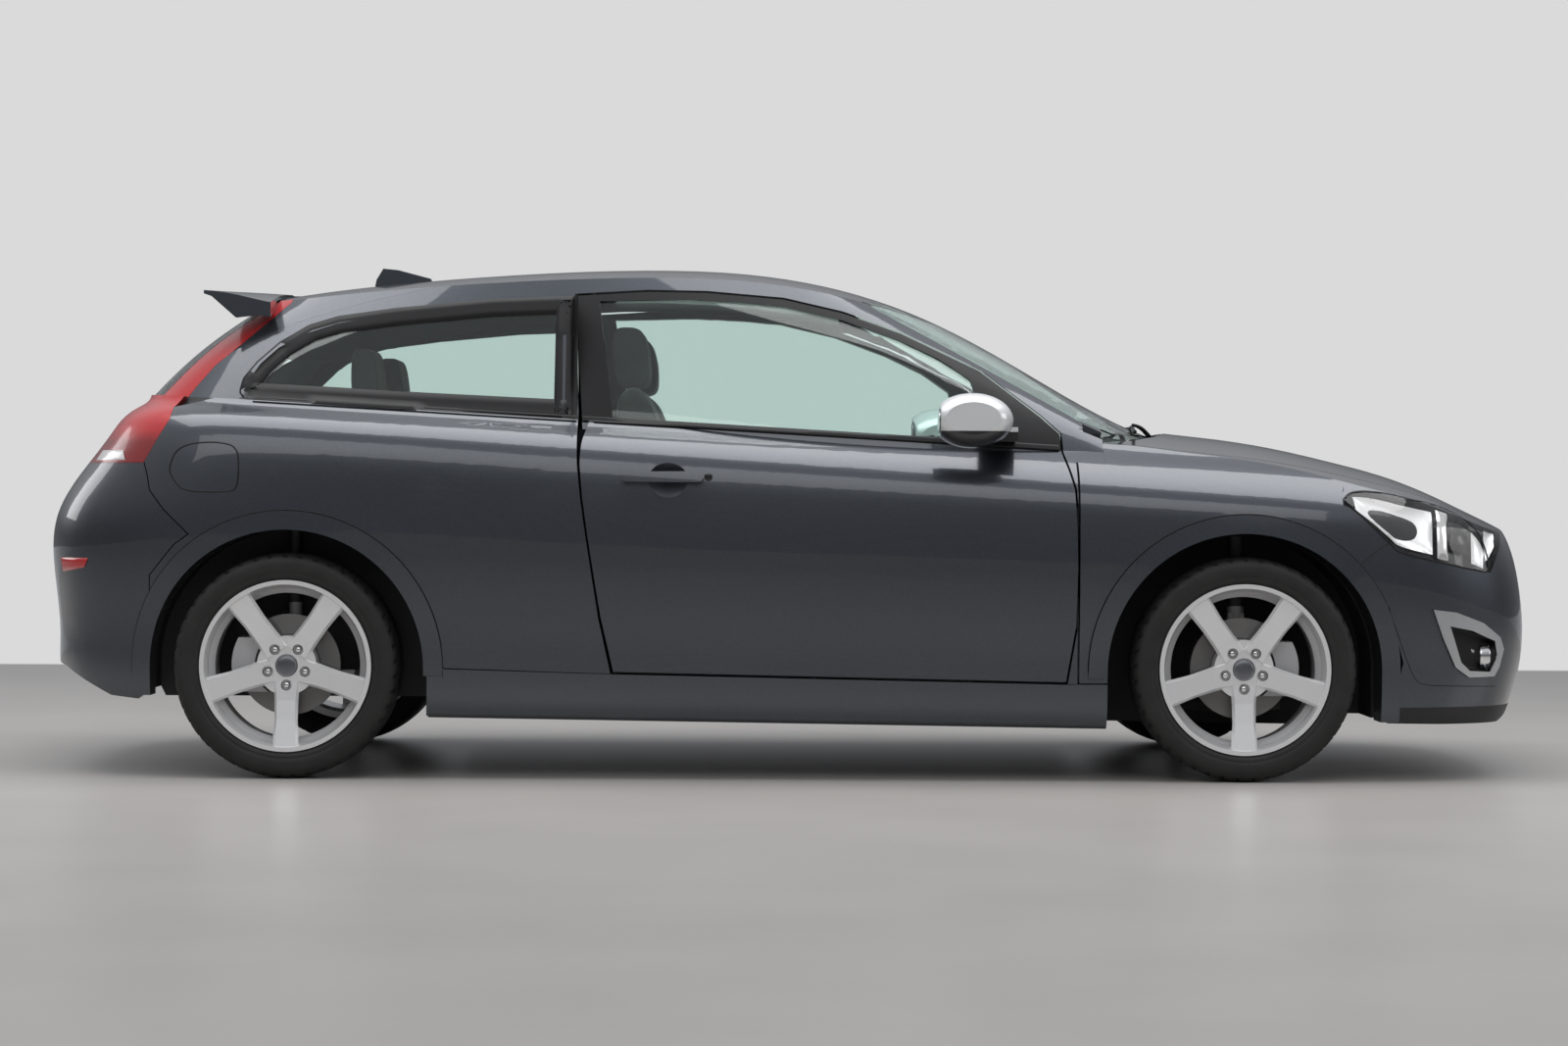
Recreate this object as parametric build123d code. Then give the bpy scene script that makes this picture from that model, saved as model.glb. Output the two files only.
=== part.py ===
"""A three-door hatchback, in millimetres, +X to the nose, +Y to the car's left, +Z up.
The origin is on the floor, midway between the bumpers' tips and on the centre plane.
Paired pieces are made on the right, at -Y, and mirrored."""
from build123d import *
from math import hypot
import os

os.makedirs("parts", exist_ok=True)

# Overall size
LENGTH = 4266
HALF_WIDTH = 889
WHEELBASE = 2640
FRONT_AXLE_X = 1249
REAR_AXLE_X = FRONT_AXLE_X - WHEELBASE
NOSE_X = LENGTH / 2
TAIL_X = -LENGTH / 2
ROOF_Z = 1446
FAR = 1100

# Wheels and tyres
TYRE_R = 310
TYRE_WIDTH = 200
RIM_R = 236
RIM_WIDTH = 196
HALF_TRACK = 774
SPOKES = 5
SPOKE_SECTIONS = [(45, 37, -68, -34), (95, 33, -72, -40), (150, 32, -79, -48), (224, 37, -90, -54)]
HUB_R = 82
CAP_R = 31
BOLT_CIRCLE_R = 54
BOLT_HOLE_R = 15
DISC_R = 140
KINGPIN_Y = 712
ARCH_Z = 305
ARCH_R = 380
FLARE_WIDTH = 52
FLARE_INNER_Z = 285
FLARE_NOSE_Z = 165
FLARE_TAIL_Z = 225
FRONT_WELL_Y = 440
REAR_WELL_Y = 620

# Walls, gaps and skins
GAP = 5
SEAM = 3
SEAT_GAP = 0.3
TRIM_SEAM = 0.6
WALL = 45
DOOR_INNER_Y = 715
SKIRT_INNER_Y = 780
GLASS = 5
PROUD = 7
FLOOR_Z = 200
FLOOR_THICK = 40
TUNNEL_Z = 400
BAY_HALF = 400

# The belt line, under the side windows
BELT_Z = 958
BELT_SLOPE = 0.057


def save(name, shape):
    """Writes one sub-part, as one solid or as several that don't touch, without slivers left by the cuts."""
    solids = shape.solids()
    least = 0.02 * max(s.volume for s in solids)
    solids = [s for s in solids if s.volume > least]
    piece = solids[0] if len(solids) == 1 else Compound(children=solids)
    export_step(piece, f"parts/{name}.step")


def mirrored(shape):
    """The same piece on the car's other side."""
    return shape.mirror(Plane.XZ)


def both(shape):
    """A piece and its twin on the other side, as one node."""
    return Compound(children=list(shape.solids()) + list(mirrored(shape).solids()))


def belt_z(x):
    return BELT_Z - BELT_SLOPE * x


def grown(points, amount):
    """The same outline with each side moved out by the amount, for gaps and seams."""
    before = points[-1:] + points[:-1]
    after = points[1:] + points[:1]
    area = sum(x0 * z1 - x1 * z0 for (x0, z0), (x1, z1) in zip(points, after))
    way = 1 if area > 0 else -1
    result = []
    for a, b, c in zip(before, points, after):
        first, second = (((q[1] - p[1]) / hypot(q[0] - p[0], q[1] - p[1]) * way,
                          (p[0] - q[0]) / hypot(q[0] - p[0], q[1] - p[1]) * way) for p, q in ((a, b), (b, c)))
        scale = amount / max(0.25, 1 + first[0] * second[0] + first[1] * second[1])
        result.append((b[0] + (first[0] + second[0]) * scale, b[1] + (first[1] + second[1]) * scale))
    return result


def outline_face(points, place):
    """A flat face round the points, each turned into x, y, z by place."""
    return make_face(Polyline(*[place(a, b) for a, b in points], close=True).edges())


def side_prism(points, y_from=-FAR, y_to=-300):
    """A side-view outline, in x and z, carried across the car. By default it takes in the right side."""
    return extrude(outline_face(points, lambda x, z: (x, y_from, z)), y_to - y_from, dir=(0, 1, 0))


def end_prism(half_points, x_from, x_to, grow=0.0):
    """An outline seen along the car, from its right half in |y| and z, carried from x_from to x_to."""
    points = [(-y, z) for y, z in half_points] + [(y, z) for y, z in reversed(half_points[1:-1])]
    points = grown(points, grow) if grow else points
    return extrude(outline_face(points, lambda y, z: (x_from, y, z)), x_to - x_from, dir=(1, 0, 0))


def plan_prism(half_points, z_from, z_to, grow=0.0):
    """A plan outline, from its half in x and |y|, carried up from z_from to z_to."""
    points = [(x, -y) for x, y in half_points] + [(x, y) for x, y in reversed(half_points[1:-1])]
    points = grown(points, grow) if grow else points
    return extrude(outline_face(points, lambda x, y: (x, y, z_from)), z_to - z_from, dir=(0, 0, 1))


def box(x0, x1, y0, y1, z0, z1):
    return Box(x1 - x0, y1 - y0, z1 - z0).moved(Location(((x0 + x1) / 2, (y0 + y1) / 2, (z0 + z1) / 2)))


def across(x, z, radius, y0, y1):
    """A cylinder that lies across the car."""
    return Cylinder(radius, y1 - y0, rotation=(90, 0, 0)).moved(Location((x, (y0 + y1) / 2, z)))


def along(y, z, radius, x0, x1):
    """A cylinder that lies along the car."""
    return Cylinder(radius, x1 - x0, rotation=(0, 90, 0)).moved(Location(((x0 + x1) / 2, y, z)))


def upright(x, y, radius, z0, z1):
    return Cylinder(radius, z1 - z0).moved(Location((x, y, (z0 + z1) / 2)))


def closed_wire(points):
    """A smooth symmetric outline from its right half, which runs from tail to nose in x, y, z."""
    right = Spline(*points, tangents=[(0, -1, 0), (0, 1, 0)])
    left = Spline(*[(x, -y, z) for x, y, z in reversed(points)], tangents=[(0, 1, 0), (0, -1, 0)])
    return Wire([Edge(right.wrapped), Edge(left.wrapped)])


# Lower body: lofted through tilted waterlines, each with its height and slope, half width, nose and tail
NOSE_PLAN = [(0, 0.992), (0.40, 0.968), (0.68, 0.90), (0.85, 0.788), (0.946, 0.563), (0.987, 0.29)]
TAIL_PLAN = [(0.975, 0.42), (0.93, 0.64), (0.84, 0.78), (0.70, 0.875), (0.52, 0.935), (0.28, 0.972), (0, 0.992)]
WATERLINES = [
    (156, 0.013, 59, 83, 93),
    (235, 0.015, 21, 38, 28),
    (340, 0.020, 15, 10, 21),
    (480, 0.030, 5, 0, 7),
    (640, 0.042, 0, 15, 16),
    (760, 0.052, 3, 43, 103),
    (830, 0.058, 10, 83, 165),
    (868, 0.0625, 25, 128, 198),
    (905, 0.0625, 61, 183, 238),
    (945, 0.060, 124, 263, 275),
    (985, 0.058, 189, 353, 313),
    (1035, 0.055, 289, 483, 353),
]


def waterline(height, slope, narrower, nose_back, tail_in, inset):
    half = HALF_WIDTH - narrower - inset
    nose = NOSE_X - nose_back - inset
    tail = TAIL_X + tail_in + inset
    points = [(tail, 0)]
    points += [(REAR_AXLE_X + (tail - REAR_AXLE_X) * t, -half * v) for t, v in TAIL_PLAN]
    points += [(REAR_AXLE_X + 0.3 * WHEELBASE, -half), (REAR_AXLE_X + 0.64 * WHEELBASE, -half)]
    points += [(FRONT_AXLE_X + (nose - FRONT_AXLE_X) * t, -half * v) for t, v in NOSE_PLAN]
    points += [(nose, 0)]
    return closed_wire([(x, y, height - slope * x) for x, y in points])


def lower_body(inset=0):
    """Everything below the belt, as one closed form that an inset makes smaller all round."""
    return Solid.make_loft([waterline(*row, inset) for row in WATERLINES])


# Greenhouse: lofted through level outlines, each with its height, half width, nose and tail
CABIN_LEVELS = [
    (760, 776, 1432, -2108),
    (850, 772, 1265, -2050),
    (950, 757, 1078, -1970),
    (1050, 722, 892, -1880),
    (1150, 682, 706, -1785),
    (1250, 640, 520, -1665),
    (1350, 592, 333, -1520),
    (1470, 525, 110, -1320),
]
SCREEN_PLAN = [(330, 0.965), (215, 0.925), (130, 0.82), (50, 0.53), (12, 0.27)]
HATCH_PLAN = [(12, 0.30), (48, 0.58), (125, 0.775), (270, 0.875)]


def cabin_outline(height, half_width, nose, tail, inset):
    half, nose, tail = half_width - inset, nose - 1.6 * inset, tail + 1.5 * inset
    span = nose - tail
    points = [(tail, 0)] + [(tail + d, -half * v) for d, v in HATCH_PLAN]
    points += [(tail + span * 0.32, -half * 0.955), (tail + span * 0.55, -half)]
    points += [(nose - d, -half * v) for d, v in SCREEN_PLAN] + [(nose, 0)]
    return closed_wire([(x, y, height) for x, y in points])


def cabin_body(inset=0):
    """The glasshouse below the roof's surface, before the roof cuts it."""
    return Solid.make_loft([cabin_outline(*row, inset) for row in CABIN_LEVELS])


# Roof and bonnet: crowned surfaces, each the top of a solid that is lofted through arcs across the car
ROOF_LINE = [
    (-2300, -420), (-1900, -212), (-1500, -92), (-1160, -45), (-800, -15), (-420, 0), (-130, -10), (100, -45),
    (340, -118), (600, -245), (1000, -462), (1300, -625),
]
ROOF_CROWN_R = 3300
BONNET_LINE = [(700, 1012), (900, 995), (1081, 976), (1254, 957), (1428, 929), (1602, 889), (1718, 858), (1834, 815),
               (1950, 761), (2037, 718), (2100, 680), (2200, 600)]
BONNET_CROWN_R = 3900
CROWN_HALF = 1000


def crowned(line, base_z, drop=0):
    """A solid from base_z up to a surface through arcs across the car, each given by x, top z and radius."""
    sections = []
    for x, z, crown_r in line:
        top, fall = z - drop, CROWN_HALF**2 / (2 * crown_r)
        arc = ThreePointArc((x, -CROWN_HALF, top - fall), (x, 0, top), (x, CROWN_HALF, top - fall))
        rest = Polyline((x, CROWN_HALF, top - fall), (x, CROWN_HALF, base_z), (x, -CROWN_HALF, base_z),
                        (x, -CROWN_HALF, top - fall))
        sections.append(Wire([Edge(arc.wrapped)] + [Edge(e.wrapped) for e in rest.edges()]))
    return Solid.make_loft(sections)


def under_roof(drop=0):
    return crowned([(x, ROOF_Z + z, ROOF_CROWN_R) for x, z in ROOF_LINE], 300, drop)


def under_bonnet(drop=0):
    return crowned([(x, z, BONNET_CROWN_R) for x, z in BONNET_LINE], 100, drop)


# Door: its outline in the side view. Its rear face leans, so that it swings out past the pillar
DOOR_GAP = 6
DOOR_FRONT = [(755, 275), (781, 426), (786, 588), (784, 695), (777, 803), (763, 857), (749, 905)]
DOOR_FRAME = [(745, 959), (690, 1008), (525, 1136), (305, 1242), (141, 1299), (-24, 1337), (-243, 1355),
              (-407, 1357), (-607, 1345), (-590, 1016)]
DOOR_REAR = [(-588, 931), (-586, 870), (-576, 770), (-560, 662), (-526, 447), (-493, 298)]
DOOR_LEAN = 0.17
FRAME_LEAN = 0.28
DOOR_WINDOW = [(402, 949), (511, 985), (511, 1073), (500, 1109), (415, 1168), (305, 1220), (141, 1279), (-24, 1317),
               (-133, 1327), (-298, 1335), (-462, 1331), (-544, 1329), (-515, 1120), (-501, 1003), (-460, 990),
               (-22, 966)]
CUP_R = 88
CUP_CENTRE = (-340, -950, 836)
HINGE_X = 742
HINGE_Y = 876
HINGE_HEIGHTS = (480, 690)
HINGE_HIGH = 36
HINGE_PIN_R = 4.5
HINGE_ARM = 18
HINGE_SLIM = 31
POST_X = 792
POST_REACH = 74
POST_OUTER_Y = 795

# Rear side window, windscreen and tailgate
QUARTER_WINDOW = [(-646, 1328), (-846, 1319), (-1119, 1293), (-1284, 1265), (-1366, 1238), (-1448, 1195),
                  (-1497, 1149), (-1524, 1108), (-1540, 1072), (-1520, 1053), (-1488, 1044), (-1118, 1022),
                  (-640, 999)]
SCREEN_EDGE = [(0, 960), (400, 958), (650, 960), (668, 1000), (526, 1335), (0, 1368)]
HATCH_EDGE = [(0, 1400), (400, 1400), (405, 1320), (440, 1220), (492, 1080), (520, 960), (528, 900), (495, 845),
              (400, 806), (0, 790)]
HATCH_WINDOW = [(0, 1295), (300, 1285), (345, 1265), (400, 1150), (450, 1040), (470, 950), (464, 905), (400, 872),
                (0, 865)]
HATCH_THICK = 30
HATCH_SET_IN = 14
HATCH_FRONT_X = -1475
HATCH_HINGE_X = -1466
HATCH_HINGE_Z = 1362
HATCH_HINGE_Y = 150
HATCH_BARREL_R = 4
SPOILER_TIP_X = -1664
SPOILER_TOP = [(-1720, 1372, 15000), (-1664, 1371, 12000), (-1560, 1373, 5200), (-1476, 1370, 3400),
               (-1420, 1368, 3300)]
SPOILER_UNDER = [(-1720, 1366, 15000), (-1664, 1361, 12000), (-1600, 1344, 7000), (-1540, 1330, 4500),
                 (-1476, 1330, 3300), (-1420, 1330, 3300)]
SPOILER_END = [(-1500, 1290), (-1574, 1281), (-1662, 1358), (-1662, 1400), (-1500, 1400)]
SPOILER_HALF = 560
SPOILER_END_THICK = 26
RAIL_Y = 545
ROOF_FRONT_X = 300

# Bonnet: half its outline in plan, from the cowl round the rear corner to the nose
BONNET_REAR = [(1110, 0), (1085, 250), (1035, 450), (960, 610), (880, 680)]
BONNET_SIDE = [(803, 700), (1000, 697), (1200, 690), (1350, 681), (1500, 668), (1620, 653), (1700, 640), (1780, 620),
               (1850, 592), (1905, 555), (1950, 505), (1990, 430), (2025, 310), (2050, 160)]
BONNET_NOSE = (2062, 0)
BONNET_THICK = 28
BONNET_HINGE_X = 812
BONNET_HINGE_Z = 922
BONNET_HINGE_Y = 680
BARREL_R = 7
BARREL_LENGTH = 12

# Lamps, bumpers and trim, in the side view
HEADLAMP = [(1523, 779), (1553, 799), (1621, 799), (1731, 778), (1813, 759), (1850, 790), (2010, 760), (1985, 650),
            (1948, 579), (1841, 600), (1690, 635), (1649, 665), (1580, 730)]
FRONT_SEAM = [(1690, 632), (1650, 662), (1622, 656), (1563, 613), (1600, 540), (1647, 484), (1690, 330), (1650, 162)]
FRONT_EDGE = [(1800, 158), (1990, 157), (2060, 190), (2200, 240), (2200, 760), (2012, 760), (1987, 650),
              (1950, 577), (1841, 598)]
TAIL_LAMP = [(-1425, 1330), (-1549, 1215), (-1630, 1146), (-1685, 1078), (-1722, 1023), (-1725, 988), (-1760, 928),
             (-1793, 868), (-2060, 867), (-2050, 1000), (-1900, 1100), (-1560, 1420), (-1440, 1420)]
TAIL_LAMP_INNER_Y = 402
REAR_SEAM = [(-1793, 867), (-1782, 832), (-1774, 791), (-1733, 738), (-1663, 671), (-1703, 643), (-1773, 557),
             (-1775, 236), (-1808, 214), (-1890, 222), (-1971, 262), (-2037, 297), (-2200, 330), (-2300, 867)]
SKIRT = [(-1001, 305), (-493, 291), (755, 268), (872, 268), (872, 143), (-1000, 168)]
FOG_OUTER = [(1773, 477), (1841, 469), (1924, 439), (1979, 398), (1992, 365), (1979, 316), (1963, 289), (1883, 288),
             (1842, 316), (1803, 397)]
FOG_INNER = [(1823, 431), (1890, 418), (1961, 388), (1970, 345), (1948, 302), (1885, 306), (1858, 330)]
MIRROR_SECTIONS = [(846, 62, 38, 975), (872, 96, 60, 982), (930, 112, 74, 990), (985, 104, 68, 994),
                   (1018, 74, 44, 996)]
MIRROR_X = 490
MIRROR_FLAT = 88
FOG_LAMP_Y = 690
FOG_LAMP_Z = 345
FOG_LAMP_R = 38
GRILLE = [(0, 395), (345, 395), (290, 640), (0, 650)]
GRILLE_HOLES = [(0, 410), (322, 410), (274, 626), (0, 636)]
GRILLE_PITCH = 36
GRILLE_BAR = 14
INTAKE = [(0, 205), (330, 205), (380, 330), (0, 330)]


def bonnet_half(gap=0.0):
    """The bonnet's half outline, moved out by a gap, with the centre points kept on the centre plane."""
    half = BONNET_REAR + BONNET_SIDE + [BONNET_NOSE]
    whole = [(x, -y) for x, y in half] + [(x, y) for x, y in reversed(half[1:-1])]
    moved = grown(whole, gap) if gap else whole
    return [(x, -y) for x, y in moved[:len(half)]]


def bonnet_prism(gap=0.0):
    return plan_prism(bonnet_half(gap), 560, 1200)


def inside_fenders(gap=GAP):
    """What lies between the fenders' inner edges, from the bulkhead forward."""
    edge = [(x, y) for x, y in bonnet_half(gap)[len(BONNET_REAR) + 1:-2]]
    half = [(700, 0), (700, edge[0][1] + 3)] + edge + [(2200, edge[-1][1]), (2200, 0)]
    return plan_prism(half, 50, 1300)


def wheel_well(x, inner_y):
    """The room round one right-hand wheel, open below."""
    return across(x, ARCH_Z, ARCH_R, -FAR, -inner_y) + box(x - ARCH_R, x + ARCH_R, -FAR, -inner_y, 0, ARCH_Z)


def arch_band(x, inner_y, seam=0.0):
    """The band round one right-hand wheel opening that its flare fills, upright below the axle's height."""
    outer = ARCH_R + FLARE_WIDTH + seam
    nose_z, tail_z = (FLARE_NOSE_Z, FLARE_INNER_Z) if x > 0 else (FLARE_INNER_Z, FLARE_TAIL_Z)
    band = across(x, ARCH_Z, outer, -FAR, -inner_y)
    band += box(x, x + outer, -FAR, -inner_y, nose_z - seam, ARCH_Z) + box(x - outer, x, -FAR, -inner_y, tail_z - seam, ARCH_Z)
    band -= box(x, x + outer + 1, -FAR - 1, 0, -200, nose_z - seam) + box(x - outer - 1, x, -FAR - 1, 0, -200, tail_z - seam)
    return band - wheel_well(x, 0)


def arch_cut(x, inner_y):
    return arch_band(x, inner_y, TRIM_SEAM)


def ruled_prism(outer, inner, outer_y, inner_y):
    """A right-hand solid between two side-view outlines with as many points each."""
    wires = [Wire(Polyline(*[(x, -y, z) for x, z in points], close=True).edges())
             for points, y in ((outer, outer_y), (inner, inner_y))]
    return Solid.make_loft(wires, ruled=True)


def leaned(outline, leaning, y, skin_y, lean):
    """The outline at a distance y from the centre plane, the points named as leaning moved forward inside."""
    return [(x + lean * (skin_y(z) - y) if i in leaning else x, z) for i, (x, z) in enumerate(outline)]


def cabin_half_width(z):
    """Half the greenhouse's width at one height, between its levels."""
    for (z0, w0, _, _), (z1, w1, _, _) in zip(CABIN_LEVELS, CABIN_LEVELS[1:]):
        if z <= z1:
            return w0 + (w1 - w0) * (z - z0) / (z1 - z0)
    return CABIN_LEVELS[-1][1]


def door_prisms():
    """The door's lower part and its window frame, each between an outer and an inner outline."""
    lower = DOOR_FRONT + [(749, belt_z(749)), (-588, belt_z(-588))] + DOOR_REAR
    leaning = range(len(DOOR_FRONT) + 1, len(lower))
    panel = ruled_prism(*[leaned(lower, leaning, y, lambda z: HALF_WIDTH, DOOR_LEAN) for y in (1000, 700)], 1000, 700)
    upper = [(-588, belt_z(-588) - 25), (749, belt_z(749) - 25)] + DOOR_FRAME
    leaning = (0, len(upper) - 2, len(upper) - 1)
    frame = ruled_prism(*[leaned(upper, leaning, y, cabin_half_width, FRAME_LEAN) for y in (900, 450)], 900, 450)
    return panel, frame


# The forms that the panels are cut from
LOW = lower_body()
LOW_PROUD = lower_body(-PROUD)
LOW_INNER = lower_body(WALL)
LOW_CORE = lower_body(WALL + SEAT_GAP)
CABIN = cabin_body() & under_roof()
CABIN_SKIN = cabin_body(GLASS)
CABIN_PANE = cabin_body(2 * GLASS)
CABIN_INNER = cabin_body(WALL) & under_roof(WALL)
BELT = side_prism([(-2400, 50), (900, 50), (900, belt_z(900)), (-2400, belt_z(-2400))], -FAR, FAR)
REAR_LOW = LOW & BELT
NOSE = LOW & under_bonnet() & box(POST_X, 2300, -FAR, FAR, 100, 1200)
SCREEN_CUT = end_prism(SCREEN_EDGE, 150, 1400)
HATCH_CUT = end_prism(HATCH_EDGE, -2400, HATCH_FRONT_X + GAP, GAP)
LAMP_CUT = side_prism(grown(TAIL_LAMP, TRIM_SEAM), -FAR, TRIM_SEAM - TAIL_LAMP_INNER_Y)
FRONT_WELL = wheel_well(FRONT_AXLE_X, FRONT_WELL_Y)
REAR_WELL = wheel_well(REAR_AXLE_X, REAR_WELL_Y)
DOOR_OPENING = side_prism(grown(DOOR_FRONT + DOOR_FRAME + DOOR_REAR, DOOR_GAP))


def hinge_arm(z):
    """A goose-neck from the door post to a pin close under the door's skin."""
    low, high = z - HINGE_HIGH / 2, z + HINGE_HIGH / 2
    back = HINGE_X - HINGE_ARM / 2
    elbow_y = -POST_OUTER_Y + 2 * HINGE_ARM
    arm = box(back, HINGE_X + HINGE_ARM / 2, HINGE_SLIM - HINGE_Y, elbow_y, low, high)
    arm += box(back, HINGE_X + 1.5, 2 * HINGE_PIN_R - HINGE_Y, HINGE_SLIM - HINGE_Y, low, high)
    arm += box(back, POST_X + 1, elbow_y - HINGE_ARM, elbow_y, low, high)
    arm += box(HINGE_X - HINGE_PIN_R + 1, HINGE_X + 1.5, -HINGE_Y, 2 * HINGE_PIN_R + 1 - HINGE_Y, low, high)
    return arm + upright(HINGE_X, -HINGE_Y, HINGE_PIN_R, low, high)


def hinge_notch(z):
    """The pocket in the door that the goose-neck turns in."""
    low, high = z - HINGE_HIGH / 2 - SEAT_GAP, z + HINGE_HIGH / 2 + SEAT_GAP
    notch = box(HINGE_X - HINGE_ARM / 2 - 2, POST_X + 20, -HINGE_Y, -POST_OUTER_Y + 2 * HINGE_ARM + 5, low, high)
    return notch + upright(HINGE_X, -HINGE_Y, HINGE_PIN_R + 1, low, high)


def door():
    panel_prism, frame_prism = door_prisms()
    panel = (REAR_LOW & panel_prism) & box(-700, 900, -FAR, -DOOR_INNER_Y, 0, 1200)
    frame = (CABIN & frame_prism & box(-800, 900, -FAR, -RAIL_Y, 0, 1500)) - CABIN_INNER
    piece = panel + frame - side_prism(DOOR_WINDOW) - Sphere(CUP_R).moved(Location(CUP_CENTRE))
    for z in HINGE_HEIGHTS:
        piece -= hinge_notch(z)
    return piece


def side_pane(outline):
    """A side window's glass, a glass's thickness below the skin of the greenhouse."""
    return (CABIN_SKIN & side_prism(outline)) - CABIN_PANE


def body_side():
    """Sill, pillars, cant rail and rear quarter."""
    sill_cut = side_prism([(-1100, 100), (900, 100)] + [(x, z + 1) for x, z in ((900, 268), (755, 268), (-493, 291),
                                                                                (-1100, 310))], -FAR, -SKIRT_INNER_Y)
    lower = REAR_LOW & box(-2400, POST_X + POST_REACH, -FAR, -DOOR_INNER_Y, 0, 1200)
    lower -= box(POST_X - 6, 900, -FAR, -POST_OUTER_Y, 0, 1200)
    lower = lower - sill_cut - DOOR_OPENING - side_prism(grown(REAR_SEAM, SEAM))
    end = POST_X + POST_REACH
    above = [(-2400, belt_z(-2400) - 25), (end, belt_z(end) - 25), (end, 1500), (-2400, 1500)]
    upper = (CABIN & side_prism(above, -FAR, -RAIL_Y)) - CABIN_INNER
    pillar = (CABIN & side_prism([(ROOF_FRONT_X, 1500), (ROOF_FRONT_X, 1200), (700, 960), (end, 905), (end, 1100)],
                                 -RAIL_Y - 1, -400)) - CABIN_INNER
    piece = lower + (upper + pillar - DOOR_OPENING - side_prism(QUARTER_WINDOW))
    piece -= BELT & box(-2400, 900, -DOOR_INNER_Y, 0, 0, 1200)
    piece -= box(BONNET_HINGE_X - 18, 900, -BONNET_HINGE_Y - 25, -BONNET_HINGE_Y + 20, 850, 960)
    piece -= box(BONNET_HINGE_X, 900, -BONNET_HINGE_Y - 25, -BONNET_HINGE_Y + 4, 850, 1100)
    piece = piece - SCREEN_CUT - HATCH_CUT - LAMP_CUT - bonnet_prism(GAP)
    piece = piece - REAR_WELL - arch_cut(REAR_AXLE_X, DOOR_INNER_Y - 10)
    for z in HINGE_HEIGHTS:
        piece += hinge_arm(z)
    return piece


def roof():
    """The roof skin between the two cant rails, with its aerial fin and its halves of the tailgate's hinges."""
    skin = (CABIN & box(-2400, ROOF_FRONT_X, SEAT_GAP - RAIL_Y, RAIL_Y - SEAT_GAP, 1200, 1500)) - CABIN_INNER
    skin = skin - SCREEN_CUT - HATCH_CUT - LAMP_CUT - mirrored(LAMP_CUT)
    fin = side_prism([(-1240, 1380), (-1062, 1395), (-1072, 1424), (-1168, 1449), (-1212, 1453), (-1232, 1420)], -20, 20)
    skin += fin
    for side in (-1, 1):
        y = side * (HATCH_HINGE_Y + BARREL_LENGTH / 2 + SEAT_GAP / 2)
        skin += across(HATCH_HINGE_X, HATCH_HINGE_Z, HATCH_BARREL_R, y - BARREL_LENGTH / 2, y + BARREL_LENGTH / 2)
        skin += box(HATCH_HINGE_X, HATCH_HINGE_X + 30, y - BARREL_LENGTH / 2, y + BARREL_LENGTH / 2, 1330, HATCH_HINGE_Z)
    return skin


def bonnet():
    panel = (NOSE & bonnet_prism()) - under_bonnet(BONNET_THICK)
    for side in (-1, 1):
        y0, y1 = sorted((side * BONNET_HINGE_Y, side * (BONNET_HINGE_Y + BARREL_LENGTH)))
        panel += across(BONNET_HINGE_X, BONNET_HINGE_Z, BARREL_R, y0, y1)
        panel += box(BONNET_HINGE_X, BONNET_HINGE_X + 150, y0, y1, BONNET_HINGE_Z - 14, BONNET_HINGE_Z + BARREL_R)
    return panel


def fender():
    side = NOSE & box(POST_X, 2300, -FAR, -300, 0, 1200)
    side = side - inside_fenders() - DOOR_OPENING
    side -= box(700, POST_X + POST_REACH + SEAT_GAP, -POST_OUTER_Y - SEAT_GAP, -400, 0, 1200)
    side -= side_prism(grown(HEADLAMP, TRIM_SEAM))
    side -= side_prism(FRONT_SEAM + FRONT_EDGE)
    side -= box(700, 1000, -FAR, -300, 0, 272) + box(FRONT_AXLE_X + ARCH_R, 2300, -FAR, -300, 0, 300)
    return side - FRONT_WELL - arch_cut(FRONT_AXLE_X, 600)


def front_structure():
    """Bulkhead, cowl, aprons, radiator panel and undertray round the engine bay."""
    core = (LOW_CORE & under_bonnet(BONNET_THICK + GAP)) & box(POST_X + POST_REACH + 1, 2090, -FAR, FAR, 50, 1200)
    core = core & inside_fenders(GAP - SEAT_GAP)
    core -= box(985, 1890, -BAY_HALF, BAY_HALF, 190, 1200)
    core -= box(1130, 1890, -600, 600, 720, 1200)
    core -= side_prism([(1500, 50), (2300, 50), (2300, 250), (2060, 205), (1990, 168), (1500, 168)], -FAR, FAR)
    core = core - FRONT_WELL - mirrored(FRONT_WELL)
    for side in (-1, 1):
        y0, y1 = sorted((side * (BONNET_HINGE_Y - SEAT_GAP), side * (BONNET_HINGE_Y - BARREL_LENGTH)))
        core += across(BONNET_HINGE_X, BONNET_HINGE_Z, BARREL_R, y0, y1)
        core += box(BONNET_HINGE_X - BARREL_R, BONNET_HINGE_X + BARREL_R, y0, y1, 870, BONNET_HINGE_Z)
        core += box(BONNET_HINGE_X - BARREL_R, 900, y0, y1, 865, 890)
    return core


def floor_pan():
    end = POST_X + POST_REACH + SEAT_GAP
    half = DOOR_INNER_Y - SEAT_GAP
    pan = box(-905, end, -half, half, FLOOR_Z, FLOOR_Z + FLOOR_THICK) + box(-905, end, -120, 120, FLOOR_Z, TUNNEL_Z)
    return pan - box(-906, end + 1, -85, 85, 0, TUNNEL_Z - 35)


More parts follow.
